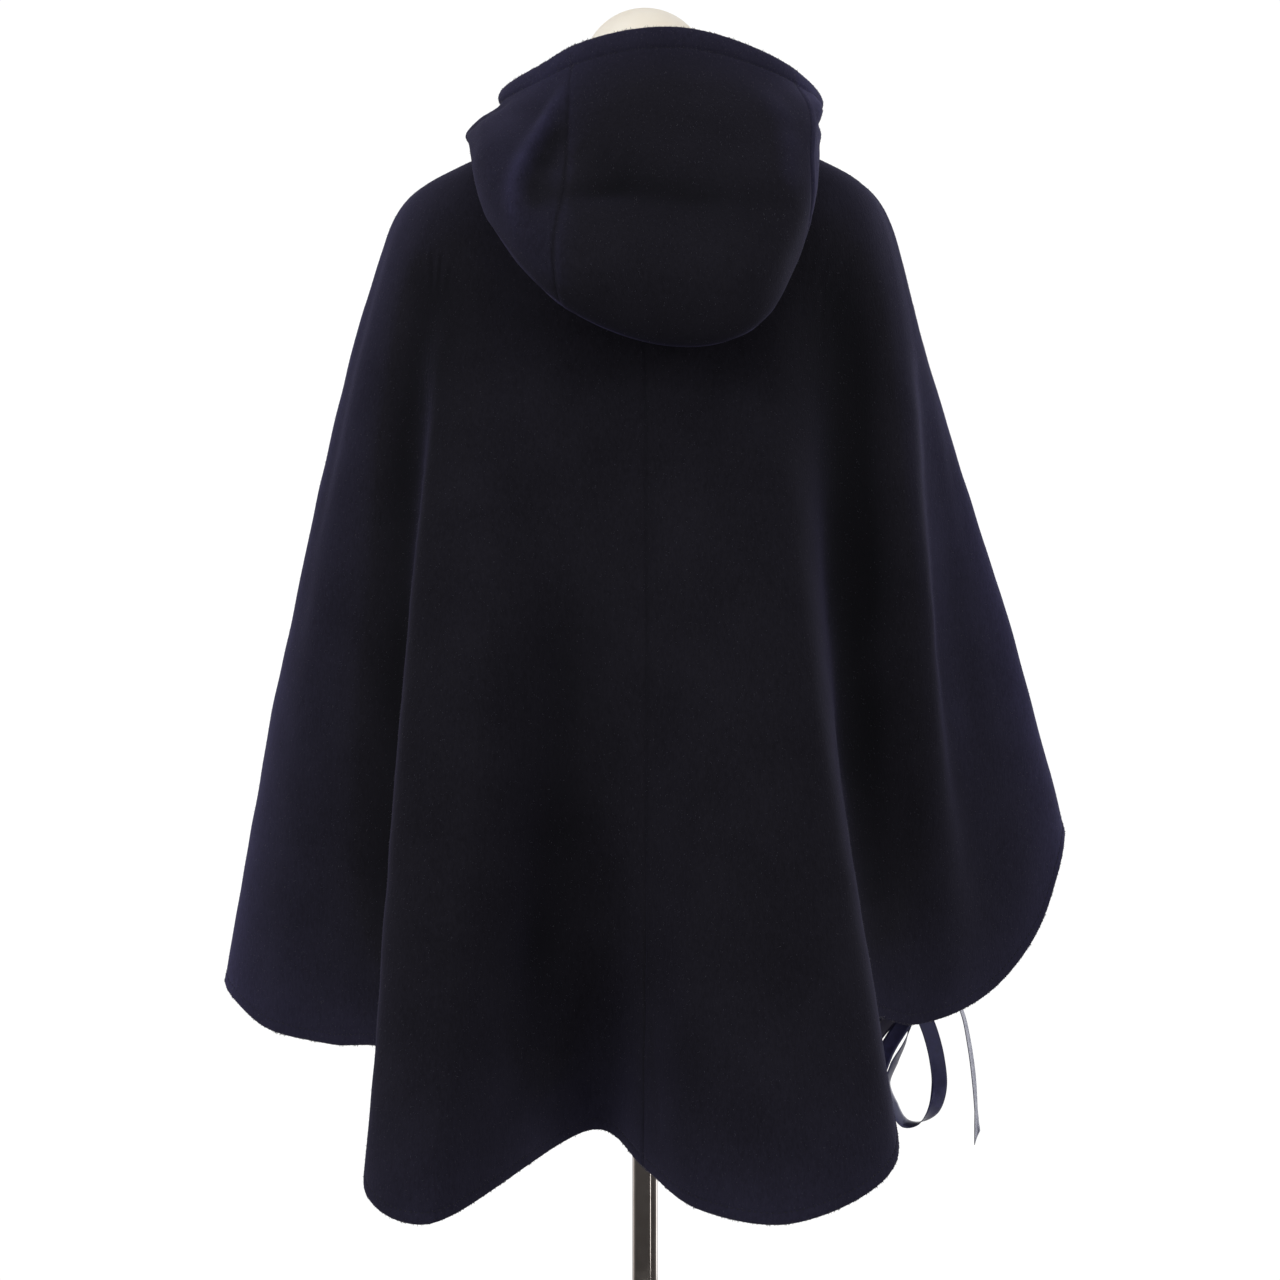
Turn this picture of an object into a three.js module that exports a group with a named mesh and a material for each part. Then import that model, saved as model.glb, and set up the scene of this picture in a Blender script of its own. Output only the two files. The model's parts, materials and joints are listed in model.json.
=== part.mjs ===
// Hooded wool cape coat hanging on a limbless dress form with a pole and a round base.
// Millimetres, +Z up. The coat faces -Y, so its back is towards +Y and the wearer's left is +X.
// The origin is the centre of the base's underside, on the floor and on the pole's axis.
import * as THREE from 'three';

// Driving dimensions
const woolThickness = 2.6;        // double-faced wool
const seamGap = 0.3;              // between two sewn pieces, and between a piece and its seat
const hoodHemThickness = 4.4;     // the hood's front edge is turned under and stitched
const neckTopZ = 1491;            // where the form's neck ends and its cap begins
const neckRadius = 53;
const collarBackZ = 1438;         // neckline height at the nape
const collarDrop = 66;            // how much lower the neckline is at the throat
const collarDip = 3.2;            // how suddenly it dips towards the throat
const collarRadiusBack = 76;
const collarRadiusFront = 86;
const yokeZ = 1300;               // height at which the cloth leaves the shoulders
const waistZ = 1000;
const torsoBottomZ = 760;
const poleRadius = 10.5;
const baseRadius = 165;
const baseHeight = 16;
const buttonRadius = 14;
const buttonHeight = 4.2;
const buttonCount = 4;
const topButtonZ = 1290;
const buttonPitch = 125;
const ribbonWidth = 13;
const ribbonThickness = 1;

// Materials
const wool = new THREE.MeshStandardMaterial({ color: 0x16151f, roughness: 0.95, metalness: 0 });
const satin = new THREE.MeshStandardMaterial({ color: 0x23233c, roughness: 0.38, metalness: 0 });
const horn = new THREE.MeshStandardMaterial({ color: 0x15141a, roughness: 0.3, metalness: 0 });
const cream = new THREE.MeshStandardMaterial({ color: 0xf1e7d2, roughness: 0.7, metalness: 0 });
const chrome = new THREE.MeshStandardMaterial({ color: 0xc9c9cc, roughness: 0.12, metalness: 1 });

const object = new THREE.Group();
const degree = Math.PI / 180;
const mix = THREE.MathUtils.lerp;
const smooth = THREE.MathUtils.smoothstep;

function addMesh(name, geometry, material) {
  const mesh = new THREE.Mesh(geometry, material);
  mesh.name = name;
  object.add(mesh);
  return mesh;
}

function indexedGeometry(points, triangles) {
  const geometry = new THREE.BufferGeometry();
  const numbers = points.flatMap((p) => [p.x, p.y, p.z]);
  geometry.setAttribute('position', new THREE.Float32BufferAttribute(numbers, 3));
  geometry.setIndex(triangles.flat());
  geometry.computeVertexNormals();
  return geometry;
}

// The outward normal of a surface(u, v), where outward is dP/du x dP/dv times side
function surfaceNormal(surface, u, v, side, limit) {
  const step = 1e-3;
  const alongU = surface(Math.min(u + step, limit.u1), v).sub(surface(Math.max(u - step, limit.u0), v));
  const alongV = surface(u, Math.min(v + step, limit.v1)).sub(surface(u, Math.max(v - step, limit.v0)));
  return alongU.cross(alongV).multiplyScalar(side).normalize();
}

const seamPull = 0.8 * seamGap;     // more than half the gap, as an edge isn't pulled square to the seam

// A closed cloth wall: the outer face follows the surface, the inner face lies one thickness behind it.
// us and vs are the grid lines, and seams says which of the two u edges is sewn to a neighbour.
function clothWall({ surface, us, vs, side, thickness, limit, seams = [false, false] }) {
  const outer = [];
  const inner = [];
  for (const u of us) {
    for (const v of vs) {
      const point = surface(u, v);
      const normal = surfaceNormal(surface, u, v, side, limit);
      outer.push(point);
      inner.push(point.clone().addScaledVector(normal, -thickness(u, v)));
    }
  }
  const columns = us.length;
  const rows = vs.length;
  const at = (i, j) => i * rows + j;
  const pullEdge = (layer, i, next) => {
    for (let j = 0; j < rows; j += 1) {
      const away = layer[at(next, j)].clone().sub(layer[at(i, j)]).setLength(seamPull);
      layer[at(i, j)].add(away);
    }
  };
  for (const layer of [outer, inner]) {
    if (seams[0]) pullEdge(layer, 0, 1);
    if (seams[1]) pullEdge(layer, columns - 1, columns - 2);
  }
  const count = columns * rows;
  const triangles = [];
  const quad = (a, b, c, d) => {
    if (side > 0) triangles.push([a, b, c], [a, c, d]);
    else triangles.push([a, c, b], [a, d, c]);
  };
  for (let i = 0; i + 1 < columns; i += 1) {
    for (let j = 0; j + 1 < rows; j += 1) {
      quad(at(i, j), at(i + 1, j), at(i + 1, j + 1), at(i, j + 1));
      quad(count + at(i, j), count + at(i, j + 1), count + at(i + 1, j + 1), count + at(i + 1, j));
    }
    const last = rows - 1;
    quad(at(i, 0), count + at(i, 0), count + at(i + 1, 0), at(i + 1, 0));
    quad(at(i, last), at(i + 1, last), count + at(i + 1, last), count + at(i, last));
  }
  for (let j = 0; j + 1 < rows; j += 1) {
    const last = columns - 1;
    quad(at(0, j), at(0, j + 1), count + at(0, j + 1), count + at(0, j));
    quad(at(last, j), count + at(last, j), count + at(last, j + 1), at(last, j + 1));
  }
  return indexedGeometry([...outer, ...inner], triangles);
}

// A smooth curve through points, read by the index of its points: 0 is the first, 1 the second
function curveThrough(points) {
  const curve = new THREE.CatmullRomCurve3(points, false, 'centripetal');
  return (index) => curve.getPoint(THREE.MathUtils.clamp(index / (points.length - 1), 0, 1));
}

// Neckline: angle 0 is the nape, +90 the wearer's left and 180 the throat; sunk is how far in and down it is
function neckPoint(angle, sunk) {
  const a = angle * degree;
  const front = (1 - Math.cos(a)) / 2;
  const radius = mix(collarRadiusBack, collarRadiusFront, front) - sunk;
  const z = collarBackZ - collarDrop * front ** collarDip - sunk;
  return new THREE.Vector3(radius * Math.sin(a), radius * Math.cos(a), z);
}

// Cape: one row for each drape line, from the under edge at the centre front round by the wearer's left,
// the back and the wearer's right to the over edge. A line starts on the neckline at the angle neck, leaves
// the shoulder at the yoke (x, y), passes the waist level (x, y) and ends at the hem (x, y, z).
const drapeLines = [
  { line: 'underEdge', neck: 188, yoke: [-26, -134], waist: [-26, -180], hem: [-26, -208, 630] },
  { line: 'leftCentre', neck: 168, yoke: [44, -132], waist: [48, -182], hem: [54, -214, 628] },
  { line: 'leftFrontValley', neck: 150, yoke: [92, -118], waist: [108, -152], hem: [116, -168, 650] },
  { line: 'leftFrontLobe', neck: 128, yoke: [146, -92], waist: [188, -148], hem: [214, -214, 674] },
  { line: 'leftFrontSide', neck: 108, yoke: [198, -54], waist: [266, -102], hem: [312, -160, 694] },
  { line: 'leftSide', neck: 90, yoke: [231, -8], waist: [304, -28], hem: [357, -60, 729] },
  { line: 'leftWing', neck: 75, yoke: [222, 32], waist: [282, 30], hem: [316, 4, 699] },
  { line: 'leftWingNear', neck: 62, yoke: [206, 58], waist: [238, 68], hem: [258, 46, 690] },
  { line: 'leftValley', neck: 50, yoke: [186, 82], waist: [197, 102], hem: [204, 96, 688] },
  { line: 'leftRidge', neck: 36, yoke: [158, 104], waist: [184, 174], hem: [215, 204, 593] },
  { line: 'leftLobe', neck: 22, yoke: [112, 119], waist: [132, 192], hem: [168, 246, 577] },
  { line: 'backValley', neck: 8, yoke: [46, 128], waist: [52, 158], hem: [37, 100, 628] },
  { line: 'centreBack', neck: -2, yoke: [0, 130], waist: [-1, 160], hem: [1, 150, 605] },
  { line: 'rightLobeStart', neck: -12, yoke: [-36, 128], waist: [-42, 176], hem: [-42, 224, 584] },
  { line: 'rightLobe', neck: -24, yoke: [-66, 124], waist: [-84, 190], hem: [-112, 246, 578] },
  { line: 'rightRidge', neck: -38, yoke: [-98, 118], waist: [-127, 178], hem: [-194, 192, 614] },
  { line: 'rightValley', neck: -54, yoke: [-156, 90], waist: [-160, 92], hem: [-181, 72, 712] },
  { line: 'rightWingNear', neck: -66, yoke: [-190, 62], waist: [-196, 68], hem: [-222, 22, 703] },
  { line: 'rightArmRidge', neck: -76, yoke: [-209, 34], waist: [-235, 44], hem: [-262, -8, 711] },
  { line: 'rightArmDent', neck: -82, yoke: [-216, 14], waist: [-242, 12], hem: [-300, -38, 732] },
  { line: 'rightArm', neck: -88, yoke: [-222, -6], waist: [-287, -22], hem: [-338, -70, 779] },
  { line: 'rightSide', neck: -96, yoke: [-220, -30], waist: [-319, -56], hem: [-361, -104, 856] },
  { line: 'rightFrontSide', neck: -112, yoke: [-190, -62], waist: [-272, -118], hem: [-312, -180, 788] },
  { line: 'rightFrontLobe', neck: -130, yoke: [-142, -94], waist: [-186, -156], hem: [-206, -224, 672] },
  { line: 'rightFrontValley', neck: -150, yoke: [-88, -120], waist: [-102, -158], hem: [-108, -178, 640] },
  { line: 'centreOver', neck: -180, yoke: [0, -139], waist: [0, -186], hem: [0, -216, 628] },
  { line: 'overEdge', neck: -190, yoke: [26, -139], waist: [26, -186], hem: [26, -215, 629] },
];

// How far the shoulder's crest and its outer corner have gone out and down from neckline to yoke
const shoulderStations = [
  { station: 'crest', out: 0.55, down: 0.17 },
  { station: 'corner', out: 0.8, down: 0.35 },
];
const leftShoulderDrop = 6;       // the wearer's left shoulder hangs lower than the right one
const leftShoulder = { from: 80, to: 170 };
const lapTuck = { underEdge: 7, leftCentre: 5 };  // how far a line lies behind the front that laps over it
const tuckOf = (d) => lapTuck[d.line] ?? 0;

const neckRing = drapeLines.map((d) => neckPoint(d.neck, tuckOf(d) * Math.SQRT1_2));
const yokeRing = drapeLines.map((d) => new THREE.Vector3(d.yoke[0], d.yoke[1] + tuckOf(d), yokeZ));
const shoulderRings = shoulderStations.map(({ out, down }) => neckRing.map((n, i) => {
  const point = n.clone().lerp(yokeRing[i], out);
  const leftness = smooth(point.x, leftShoulder.from, leftShoulder.to);
  point.z = mix(n.z, yokeRing[i].z, down) - leftShoulderDrop * leftness;
  return point;
}));
const waistRing = drapeLines.map((d) => new THREE.Vector3(d.waist[0], d.waist[1] + tuckOf(d), waistZ));
const hemRing = drapeLines.map((d) => new THREE.Vector3(d.hem[0], d.hem[1] + tuckOf(d), d.hem[2]));
const capeLevels = [neckRing, ...shoulderRings, yokeRing, waistRing, hemRing].map(curveThrough);
const capeLimit = { u0: 0, u1: drapeLines.length - 1, v0: 0, v1: capeLevels.length - 1 };

// u runs over the drape lines, v from the neckline (0) over the shoulder, yoke and waist to the hem (5)
function capeSurface(u, v) {
  return curveThrough(capeLevels.map((level) => level(u)))(v);
}

const lineIndex = (name) => drapeLines.findIndex((d) => d.line === name);
const capeRows = [0, 0.5, 1, 1.5, 2, 2.5, 3, 3.35, 3.7, 4, 4.25, 4.5, 4.75, 4.95, 5];
const columnSpacing = 34;         // at the hem

// Grid lines from one drape line to another, with more of them where the hem is longer
function capeColumns(from, to) {
  const columns = [from];
  for (let line = from; line < to; line += 1) {
    const hemLength = hemRing[line].distanceTo(hemRing[line + 1]);
    const steps = Math.max(2, Math.round(hemLength / columnSpacing));
    for (let k = 1; k <= steps; k += 1) columns.push(line + k / steps);
  }
  return columns;
}

const capePanels = [
  { name: 'front_left', from: 'underEdge', to: 'leftSide', seams: [false, true] },
  { name: 'back_left', from: 'leftSide', to: 'centreBack', seams: [true, true] },
  { name: 'back_right', from: 'centreBack', to: 'rightSide', seams: [true, true] },
  { name: 'front_right', from: 'rightSide', to: 'overEdge', seams: [true, false] },
];
for (const panel of capePanels) {
  const geometry = clothWall({
    surface: capeSurface,
    us: capeColumns(lineIndex(panel.from), lineIndex(panel.to)),
    vs: capeRows,
    side: -1,
    thickness: () => woolThickness,
    limit: capeLimit,
    seams: panel.seams,
  });
  addMesh(panel.name, geometry, wool);
}

// Hood: one row for each section round the neck, from the throat by the wearer's left over the back and the
// wearer's right to the throat. Angles are as for the neckline; rimAngle is the section's angle at the rim,
// because the hood is twisted a little. The bag's lowest fold, its belly, the soft crease above it, the
// upper part and the rim are given by their distance from the neck's axis.
const hoodSections = [
  { section: 'leftEdge', angle: 165, rimAngle: 163, foldR: 90, foldZ: 1388, bellyR: 93, creaseR: 95,
    upperR: 94, rimR: 92, rimZ: 1416 },
  { section: 'leftFront', angle: 135, rimAngle: 138, foldR: 102, foldZ: 1412, bellyR: 110, creaseR: 112,
    upperR: 109, rimR: 104, rimZ: 1440 },
  { section: 'leftSide', angle: 92, rimAngle: 104, foldR: 134, foldZ: 1423, bellyR: 143, creaseR: 135,
    upperR: 117, rimR: 115, rimZ: 1470 },
  { section: 'leftBulge', angle: 62, rimAngle: 80, foldR: 156, foldZ: 1414, bellyR: 163, creaseR: 150,
    upperR: 126, rimR: 118, rimZ: 1475 },
  { section: 'leftRidge', angle: 38, rimAngle: 58, foldR: 190, foldZ: 1340, bellyR: 200, creaseR: 187,
    upperR: 134, rimR: 100, rimZ: 1489 },
  { section: 'leftSeam', angle: 19, rimAngle: 40, foldR: 196, foldZ: 1278, bellyR: 219, creaseR: 177,
    upperR: 130, rimR: 90, rimZ: 1502 },
  { section: 'centre', angle: -4, rimAngle: -6, foldR: 188, foldZ: 1248, bellyR: 222, creaseR: 188,
    upperR: 142, rimR: 92, rimZ: 1513 },
  { section: 'rightCentre', angle: -24, rimAngle: -42, foldR: 200, foldZ: 1260, bellyR: 223, creaseR: 197,
    upperR: 152, rimR: 98, rimZ: 1508 },
  { section: 'rightSeam', angle: -42, rimAngle: -70, foldR: 184, foldZ: 1330, bellyR: 194, creaseR: 185,
    upperR: 162, rimR: 126, rimZ: 1489 },
  { section: 'rightSide', angle: -62, rimAngle: -87, foldR: 155, foldZ: 1412, bellyR: 160, creaseR: 154,
    upperR: 150, rimR: 145, rimZ: 1468 },
  { section: 'rightShoulder', angle: -92, rimAngle: -108, foldR: 132, foldZ: 1428, bellyR: 138, creaseR: 139,
    upperR: 135, rimR: 132, rimZ: 1456 },
  { section: 'rightFront', angle: -135, rimAngle: -140, foldR: 102, foldZ: 1412, bellyR: 110, creaseR: 112,
    upperR: 109, rimR: 106, rimZ: 1438 },
  { section: 'rightEdge', angle: -165, rimAngle: -163, foldR: 90, foldZ: 1388, bellyR: 93, creaseR: 95,
    upperR: 94, rimR: 92, rimZ: 1416 },
];
const bellyShare = 0.17;          // share of the way up from the fold to the rim
const creaseShare = 0.45;
const upperShare = 0.72;
const turnedShare = 0.9;          // where the turned edge's stitching runs
const turnedReach = 0.75;         // share of the way in from the upper part to the rim
const bagReach = 0.75;            // share of the way out to the fold at which the bag is off the cape
const hoodClearance = 2.7;        // between the hood's underside and the cape that it lies on
const hoodRestLevel = 2.1;        // the hood's underside leaves the cape at this level of it
const underShares = [0.3, 0.65, 1];
const twistShares = { crease: 0.1, upper: 0.45, turned: 0.85 };  // of the hood's twist, up from the fold

function polar(radius, angle, z) {
  return new THREE.Vector3(radius * Math.sin(angle * degree), radius * Math.cos(angle * degree), z);
}

// The input in [low, high] at which a falling test turns from true to false
function turningPoint(low, high, test) {
  for (let i = 0; i < 20; i += 1) {
    const middle = (low + high) / 2;
    if (test(middle)) low = middle;
    else high = middle;
  }
  return low;
}

// A point that lies on the cape at an angle round the neck and at level v, moved out by a clearance
function onCape(angle, v, clearance) {
  const u = turningPoint(capeLimit.u0, capeLimit.u1, (line) => {
    const point = capeSurface(line, v);
    const reached = Math.atan2(point.x, point.y) / degree;
    const wrap = line < lineIndex('centreBack') ? reached < -90 : reached > 90;
    return (wrap ? reached - 360 * Math.sign(reached) : reached) > angle;
  });
  return capeSurface(u, v).addScaledVector(surfaceNormal(capeSurface, u, v, -1, capeLimit), clearance);
}

// The level at which the cape reaches a radius, at an angle round the neck
function capeLevelAt(angle, radius) {
  return turningPoint(capeLimit.v0, capeLimit.v1, (v) => {
    const point = onCape(angle, v, 0);
    return Math.hypot(point.x, point.y) < radius;
  });
}

function hoodSectionPoints(s) {
  const depth = s.rimZ - s.foldZ;
  const neck = onCape(s.angle, 0, 2 * seamGap);
  const neckR = Math.hypot(neck.x, neck.y);
  const restLevel = Math.min(hoodRestLevel, capeLevelAt(s.angle, mix(neckR, s.foldR, bagReach)));
  const under = (share) => onCape(s.angle, share * restLevel, hoodClearance);
  const capeUnderFold = onCape(s.angle, capeLevelAt(s.angle, s.foldR), hoodClearance);
  const rise = (share) => s.foldZ + depth * share;
  const twist = (share) => mix(s.angle, s.rimAngle, share);
  return [
    neck,
    ...underShares.map(under),
    polar(s.foldR, s.angle, Math.max(s.foldZ, capeUnderFold.z)),
    polar(s.bellyR, s.angle, rise(bellyShare)),
    polar(s.creaseR, twist(twistShares.crease), rise(creaseShare)),
    polar(s.upperR, twist(twistShares.upper), rise(upperShare)),
    polar(mix(s.upperR, s.rimR, turnedReach), twist(twistShares.turned), rise(turnedShare)),
    polar(s.rimR, s.rimAngle, s.rimZ),
  ];
}

// A row of a table between two of its rows, each number on a smooth curve through the column
function rowBetween(table, u) {
  const last = table.length - 1;
  const start = Math.min(Math.floor(u), last - 1);
  const [a, b, c, d] = [-1, 0, 1, 2].map((k) => table[THREE.MathUtils.clamp(start + k, 0, last)]);
  const t = u - start;
  const row = {};
  for (const key of Object.keys(b)) {
    if (typeof b[key] !== 'number') continue;
    const slope = c[key] - a[key];
    const bend = 2 * a[key] - 5 * b[key] + 4 * c[key] - d[key];
    const twist = 3 * (b[key] - c[key]) + d[key] - a[key];
    row[key] = b[key] + (t * (slope + t * (bend + t * twist))) / 2;
  }
  return row;
}

const hoodHemLevel = 8;           // where the turned edge begins
const hoodCurves = new Map();
const hoodLimit = { u0: 0, u1: hoodSections.length - 1, v0: 0, v1: 9 };

// u runs over the sections, v from the neck seam (0) under the bag and up its outside to the rim (9)
function hoodSurface(u, v) {
  if (!hoodCurves.has(u)) hoodCurves.set(u, curveThrough(hoodSectionPoints(rowBetween(hoodSections, u))));
  return hoodCurves.get(u)(v);
}

function hoodThickness(u, v) {
  return mix(woolThickness, hoodHemThickness, smooth(v, hoodHemLevel - 0.2, hoodHemLevel + 0.1));
}

const sectionIndex = (name) => hoodSections.findIndex((s) => s.section === name);
const hoodRows = [0, 0.5, 1, 1.5, 2, 2.5, 3, 3.5, 4, 4.5, 5, 5.5, 6, 6.5, 7, 7.5, 8, 8.5, 8.9, 9];
const hoodSteps = 4;              // grid lines between two sections
function hoodColumns(from, to) {
  const count = (to - from) * hoodSteps;
  return Array.from({ length: count + 1 }, (_, k) => from + (to - from) * k / count);
}

const hoodPanels = [
  { name: 'hood_left', from: 'leftEdge', to: 'leftSeam', seams: [false, true] },
  { name: 'hood_centre', from: 'leftSeam', to: 'rightSeam', seams: [true, true] },
  { name: 'hood_right', from: 'rightSeam', to: 'rightEdge', seams: [true, false] },
];
for (const panel of hoodPanels) {
  const geometry = clothWall({
    surface: hoodSurface,
    us: hoodColumns(sectionIndex(panel.from), sectionIndex(panel.to)),
    vs: hoodRows,
    side: 1,
    thickness: hoodThickness,
    limit: hoodLimit,
    seams: panel.seams,
  });
  addMesh(panel.name, geometry, wool);
}

// Buttons on the over front, along the centre front line
const buttonSeat = 1.2 * seamGap;

// The level at which a drape line passes a height
function levelAtHeight(u, z) {
  return turningPoint(1, capeLimit.v1, (v) => capeSurface(u, v).z > z);
}

function buttonGeometry() {
  const profile = [
    [0, 0], [buttonRadius - 3, 0], [buttonRadius, 1.8], [buttonRadius - 0.8, buttonHeight],
    [buttonRadius - 2.6, buttonHeight], [buttonRadius - 4, buttonHeight - 1.2], [0, buttonHeight - 1.2],
  ].map(([r, h]) => new THREE.Vector2(r, h));
  return new THREE.LatheGeometry(profile, 24);
}

const buttonLine = lineIndex('centreOver');
const latheAxis = new THREE.Vector3(0, 1, 0);
for (let k = 0; k < buttonCount; k += 1) {
  const v = levelAtHeight(buttonLine, topButtonZ - k * buttonPitch);
  const normal = surfaceNormal(capeSurface, buttonLine, v, -1, capeLimit);
  const button = addMesh(`button_${k + 1}`, buttonGeometry(), horn);
  button.position.copy(capeSurface(buttonLine, v)).addScaledVector(normal, buttonSeat);
  button.quaternion.setFromUnitVectors(latheAxis, normal);
}

// Satin tie inside the wearer's right wing: a small knot with two loops and one free end.
// Each point is where the ribbon's middle runs, and turn is the angle of its flat side about the run.
const tieKnot = new THREE.Vector3(-225.6, 6.2, 722);
const tieKnotSize = { x: 10, y: 7, z: 9 };
const frontLoopRoute = [
  { x: -229, y: 4, z: 713.4, turn: 8 },
  { x: -237, y: -2, z: 694, turn: 8 },
  { x: -243, y: -7, z: 671, turn: 8 },
  { x: -245, y: -9, z: 648, turn: 4 },
  { x: -240, y: -10, z: 630, turn: -20 },
  { x: -229, y: -11, z: 621, turn: -50 },
  { x: -217, y: -11, z: 620, turn: -70 },
  { x: -208, y: -10, z: 632, turn: -76 },
  { x: -204, y: -9, z: 650, turn: -70 },
  { x: -209, y: -7, z: 668, turn: -50 },
  { x: -217, y: -4, z: 686, turn: -62 },
  { x: -222.5, y: 1, z: 713, turn: -8 },
];
const hiddenLoopRoute = [
  { x: -222, y: 8.5, z: 713.4, turn: 4 },
  { x: -215, y: 8, z: 700, turn: 6 },
  { x: -205, y: 7, z: 682, turn: 6 },
  { x: -194, y: 6, z: 656, turn: 0 },
  { x: -182, y: 4, z: 640, turn: -12 },
  { x: -172, y: -1, z: 646, turn: -40 },
  { x: -180, y: -4, z: 670, turn: -60 },
  { x: -206, y: -1, z: 708, turn: -40 },
  { x: -214, y: 1.5, z: 716, turn: -20 },
];
const freeEndRoute = [
  { x: -231.9, y: -0.5, z: 722.5, turn: 84 },
  { x: -245, y: -15, z: 727, turn: 84 },
  { x: -258, y: -28, z: 722, turn: 78 },
  { x: -267, y: -36, z: 706, turn: 74 },
  { x: -273, y: -40, z: 680, turn: 72 },
  { x: -277, y: -42, z: 652, turn: 70 },
  { x: -279, y: -42, z: 624, turn: 76 },
  { x: -280, y: -42, z: 597, turn: 84 },
];

// A flat ribbon along a route: its flat side is turned from facing +Y about the run of the ribbon
const stepsPerPoint = 4;
const runStep = 0.05;
function ribbonGeometry(route) {
  const line = curveThrough(route.map((p) => new THREE.Vector3(p.x, p.y, p.z)));
  const last = route.length - 1;
  const steps = last * stepsPerPoint;
  const points = [];
  const rings = [];
  const back = new THREE.Vector3(0, 1, 0);
  for (let k = 0; k <= steps; k += 1) {
    const t = k / stepsPerPoint;
    const point = line(t);
    const run = line(Math.min(t + runStep, last)).sub(line(Math.max(t - runStep, 0))).normalize();
    const across = run.clone().cross(back).normalize();
    const near = Math.min(Math.floor(t), last - 1);
    const turn = mix(route[near].turn, route[near + 1].turn, t - near) * degree;
    const width = across.applyAxisAngle(run, turn);
    const face = run.clone().cross(width).normalize();
    const ring = [[1, 1], [-1, 1], [-1, -1], [1, -1]].map(([w, f]) => {
      const corner = point.clone().addScaledVector(width, w * ribbonWidth / 2);
      points.push(corner.addScaledVector(face, f * ribbonThickness / 2));
      return points.length - 1;
    });
    rings.push(ring);
  }
  const triangles = [];
  for (let k = 0; k < steps; k += 1) {
    for (let s = 0; s < 4; s += 1) {
      const [a, b] = [rings[k][s], rings[k][(s + 1) % 4]];
      const [c, d] = [rings[k + 1][(s + 1) % 4], rings[k + 1][s]];
      triangles.push([a, b, c], [a, c, d]);
    }
  }
  const [f, l] = [rings[0], rings[steps]];
  triangles.push([f[0], f[2], f[1]], [f[0], f[3], f[2]], [l[0], l[1], l[2]], [l[0], l[2], l[3]]);
  return indexedGeometry(points, triangles);
}

addMesh('tie_front_loop', ribbonGeometry(frontLoopRoute), satin);
addMesh('tie_hidden_loop', ribbonGeometry(hiddenLoopRoute), satin);
addMesh('tie_free_end', ribbonGeometry(freeEndRoute), satin);
const knotGeometry = new THREE.SphereGeometry(1, 16, 10).scale(tieKnotSize.x, tieKnotSize.y, tieKnotSize.z);
addMesh('tie_knot', knotGeometry, satin).position.copy(tieKnot);

// Dress form: smooth closed sections from the underside of the hips to the top of the neck
const torsoSections = [
  { z: torsoBottomZ, width: 150, front: 96, back: 106 },
  { z: 790, width: 166, front: 104, back: 120 },
  { z: 850, width: 174, front: 110, back: 126 },
  { z: 930, width: 154, front: 106, back: 108 },
  { z: 1010, width: 122, front: 94, back: 84 },
  { z: 1090, width: 132, front: 104, back: 88 },
  { z: 1165, width: 150, front: 124, back: 100 },
  { z: 1240, width: 162, front: 112, back: 110 },
  { z: 1300, width: 180, front: 94, back: 108 },
  { z: 1340, width: 190, front: 80, back: 100 },
  { z: 1362, width: 190, front: 70, back: 92 },
  { z: 1376, width: 182, front: 64, back: 86 },
  { z: 1388, width: 168, front: 60, back: 80 },
  { z: 1398, width: 146, front: 57, back: 74 },
  { z: 1407, width: 112, front: 55, back: 68 },
  { z: 1417, width: 80, front: 54, back: 62 },
  { z: 1428, width: 67, front: 53, back: 58 },
  { z: 1446, width: 58, front: 53, back: 55 },
  { z: 1466, width: neckRadius, front: neckRadius, back: neckRadius },
  { z: neckTopZ, width: neckRadius, front: neckRadius, back: neckRadius },
];
const torsoSides = 40;            // width, front and back are measured from the pole's axis

function torsoGeometry() {
  const points = [];
  for (const s of torsoSections) {
    for (let k = 0; k < torsoSides; k += 1) {
      const a = (2 * Math.PI * k) / torsoSides;
      const depth = Math.sin(a) < 0 ? s.front : s.back;
      points.push(new THREE.Vector3(s.width * Math.cos(a), depth * Math.sin(a), s.z));
    }
  }
  const triangles = [];
  for (let row = 0; row + 1 < torsoSections.length; row += 1) {
    for (let k = 0; k < torsoSides; k += 1) {
      const a = row * torsoSides + k;
      const b = row * torsoSides + (k + 1) % torsoSides;
      triangles.push([a, b, b + torsoSides], [a, b + torsoSides, a + torsoSides]);
    }
  }
  const top = (torsoSections.length - 1) * torsoSides;
  for (let k = 1; k + 1 < torsoSides; k += 1) {
    triangles.push([0, k + 1, k], [top, top + k, top + k + 1]);
  }
  return indexedGeometry(points, triangles);
}
addMesh('form_torso', torsoGeometry(), cream);

// Turned pieces: a profile of radius and height, spun round the pole's axis
function turned(name, profile, sides, material, z = 0) {
  const geometry = new THREE.LatheGeometry(profile.map(([r, h]) => new THREE.Vector2(r, h)), sides);
  geometry.rotateX(Math.PI / 2);
  addMesh(name, geometry, material).position.z = z;
}

const capSteps = 8;
const capProfile = [[0, 0]];
for (let k = 0; k <= capSteps; k += 1) {
  const a = (Math.PI / 2) * (k / capSteps);
  capProfile.push([k === capSteps ? 0 : neckRadius * Math.cos(a), neckRadius * Math.sin(a)]);
}
turned('form_neck_cap', capProfile, 40, cream, neckTopZ + seamGap);

// The flange under the form, with a socket for the pole
const flangeHeight = 22;
const flangeRadius = 44;
const socketRadius = 18;
const flangeZ = torsoBottomZ - seamGap - flangeHeight;
turned('pole_flange', [[0, 0], [socketRadius - 2, 0], [socketRadius, 3], [socketRadius, 14],
  [flangeRadius, 17], [flangeRadius, flangeHeight], [0, flangeHeight]], 32, chrome, flangeZ);

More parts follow.
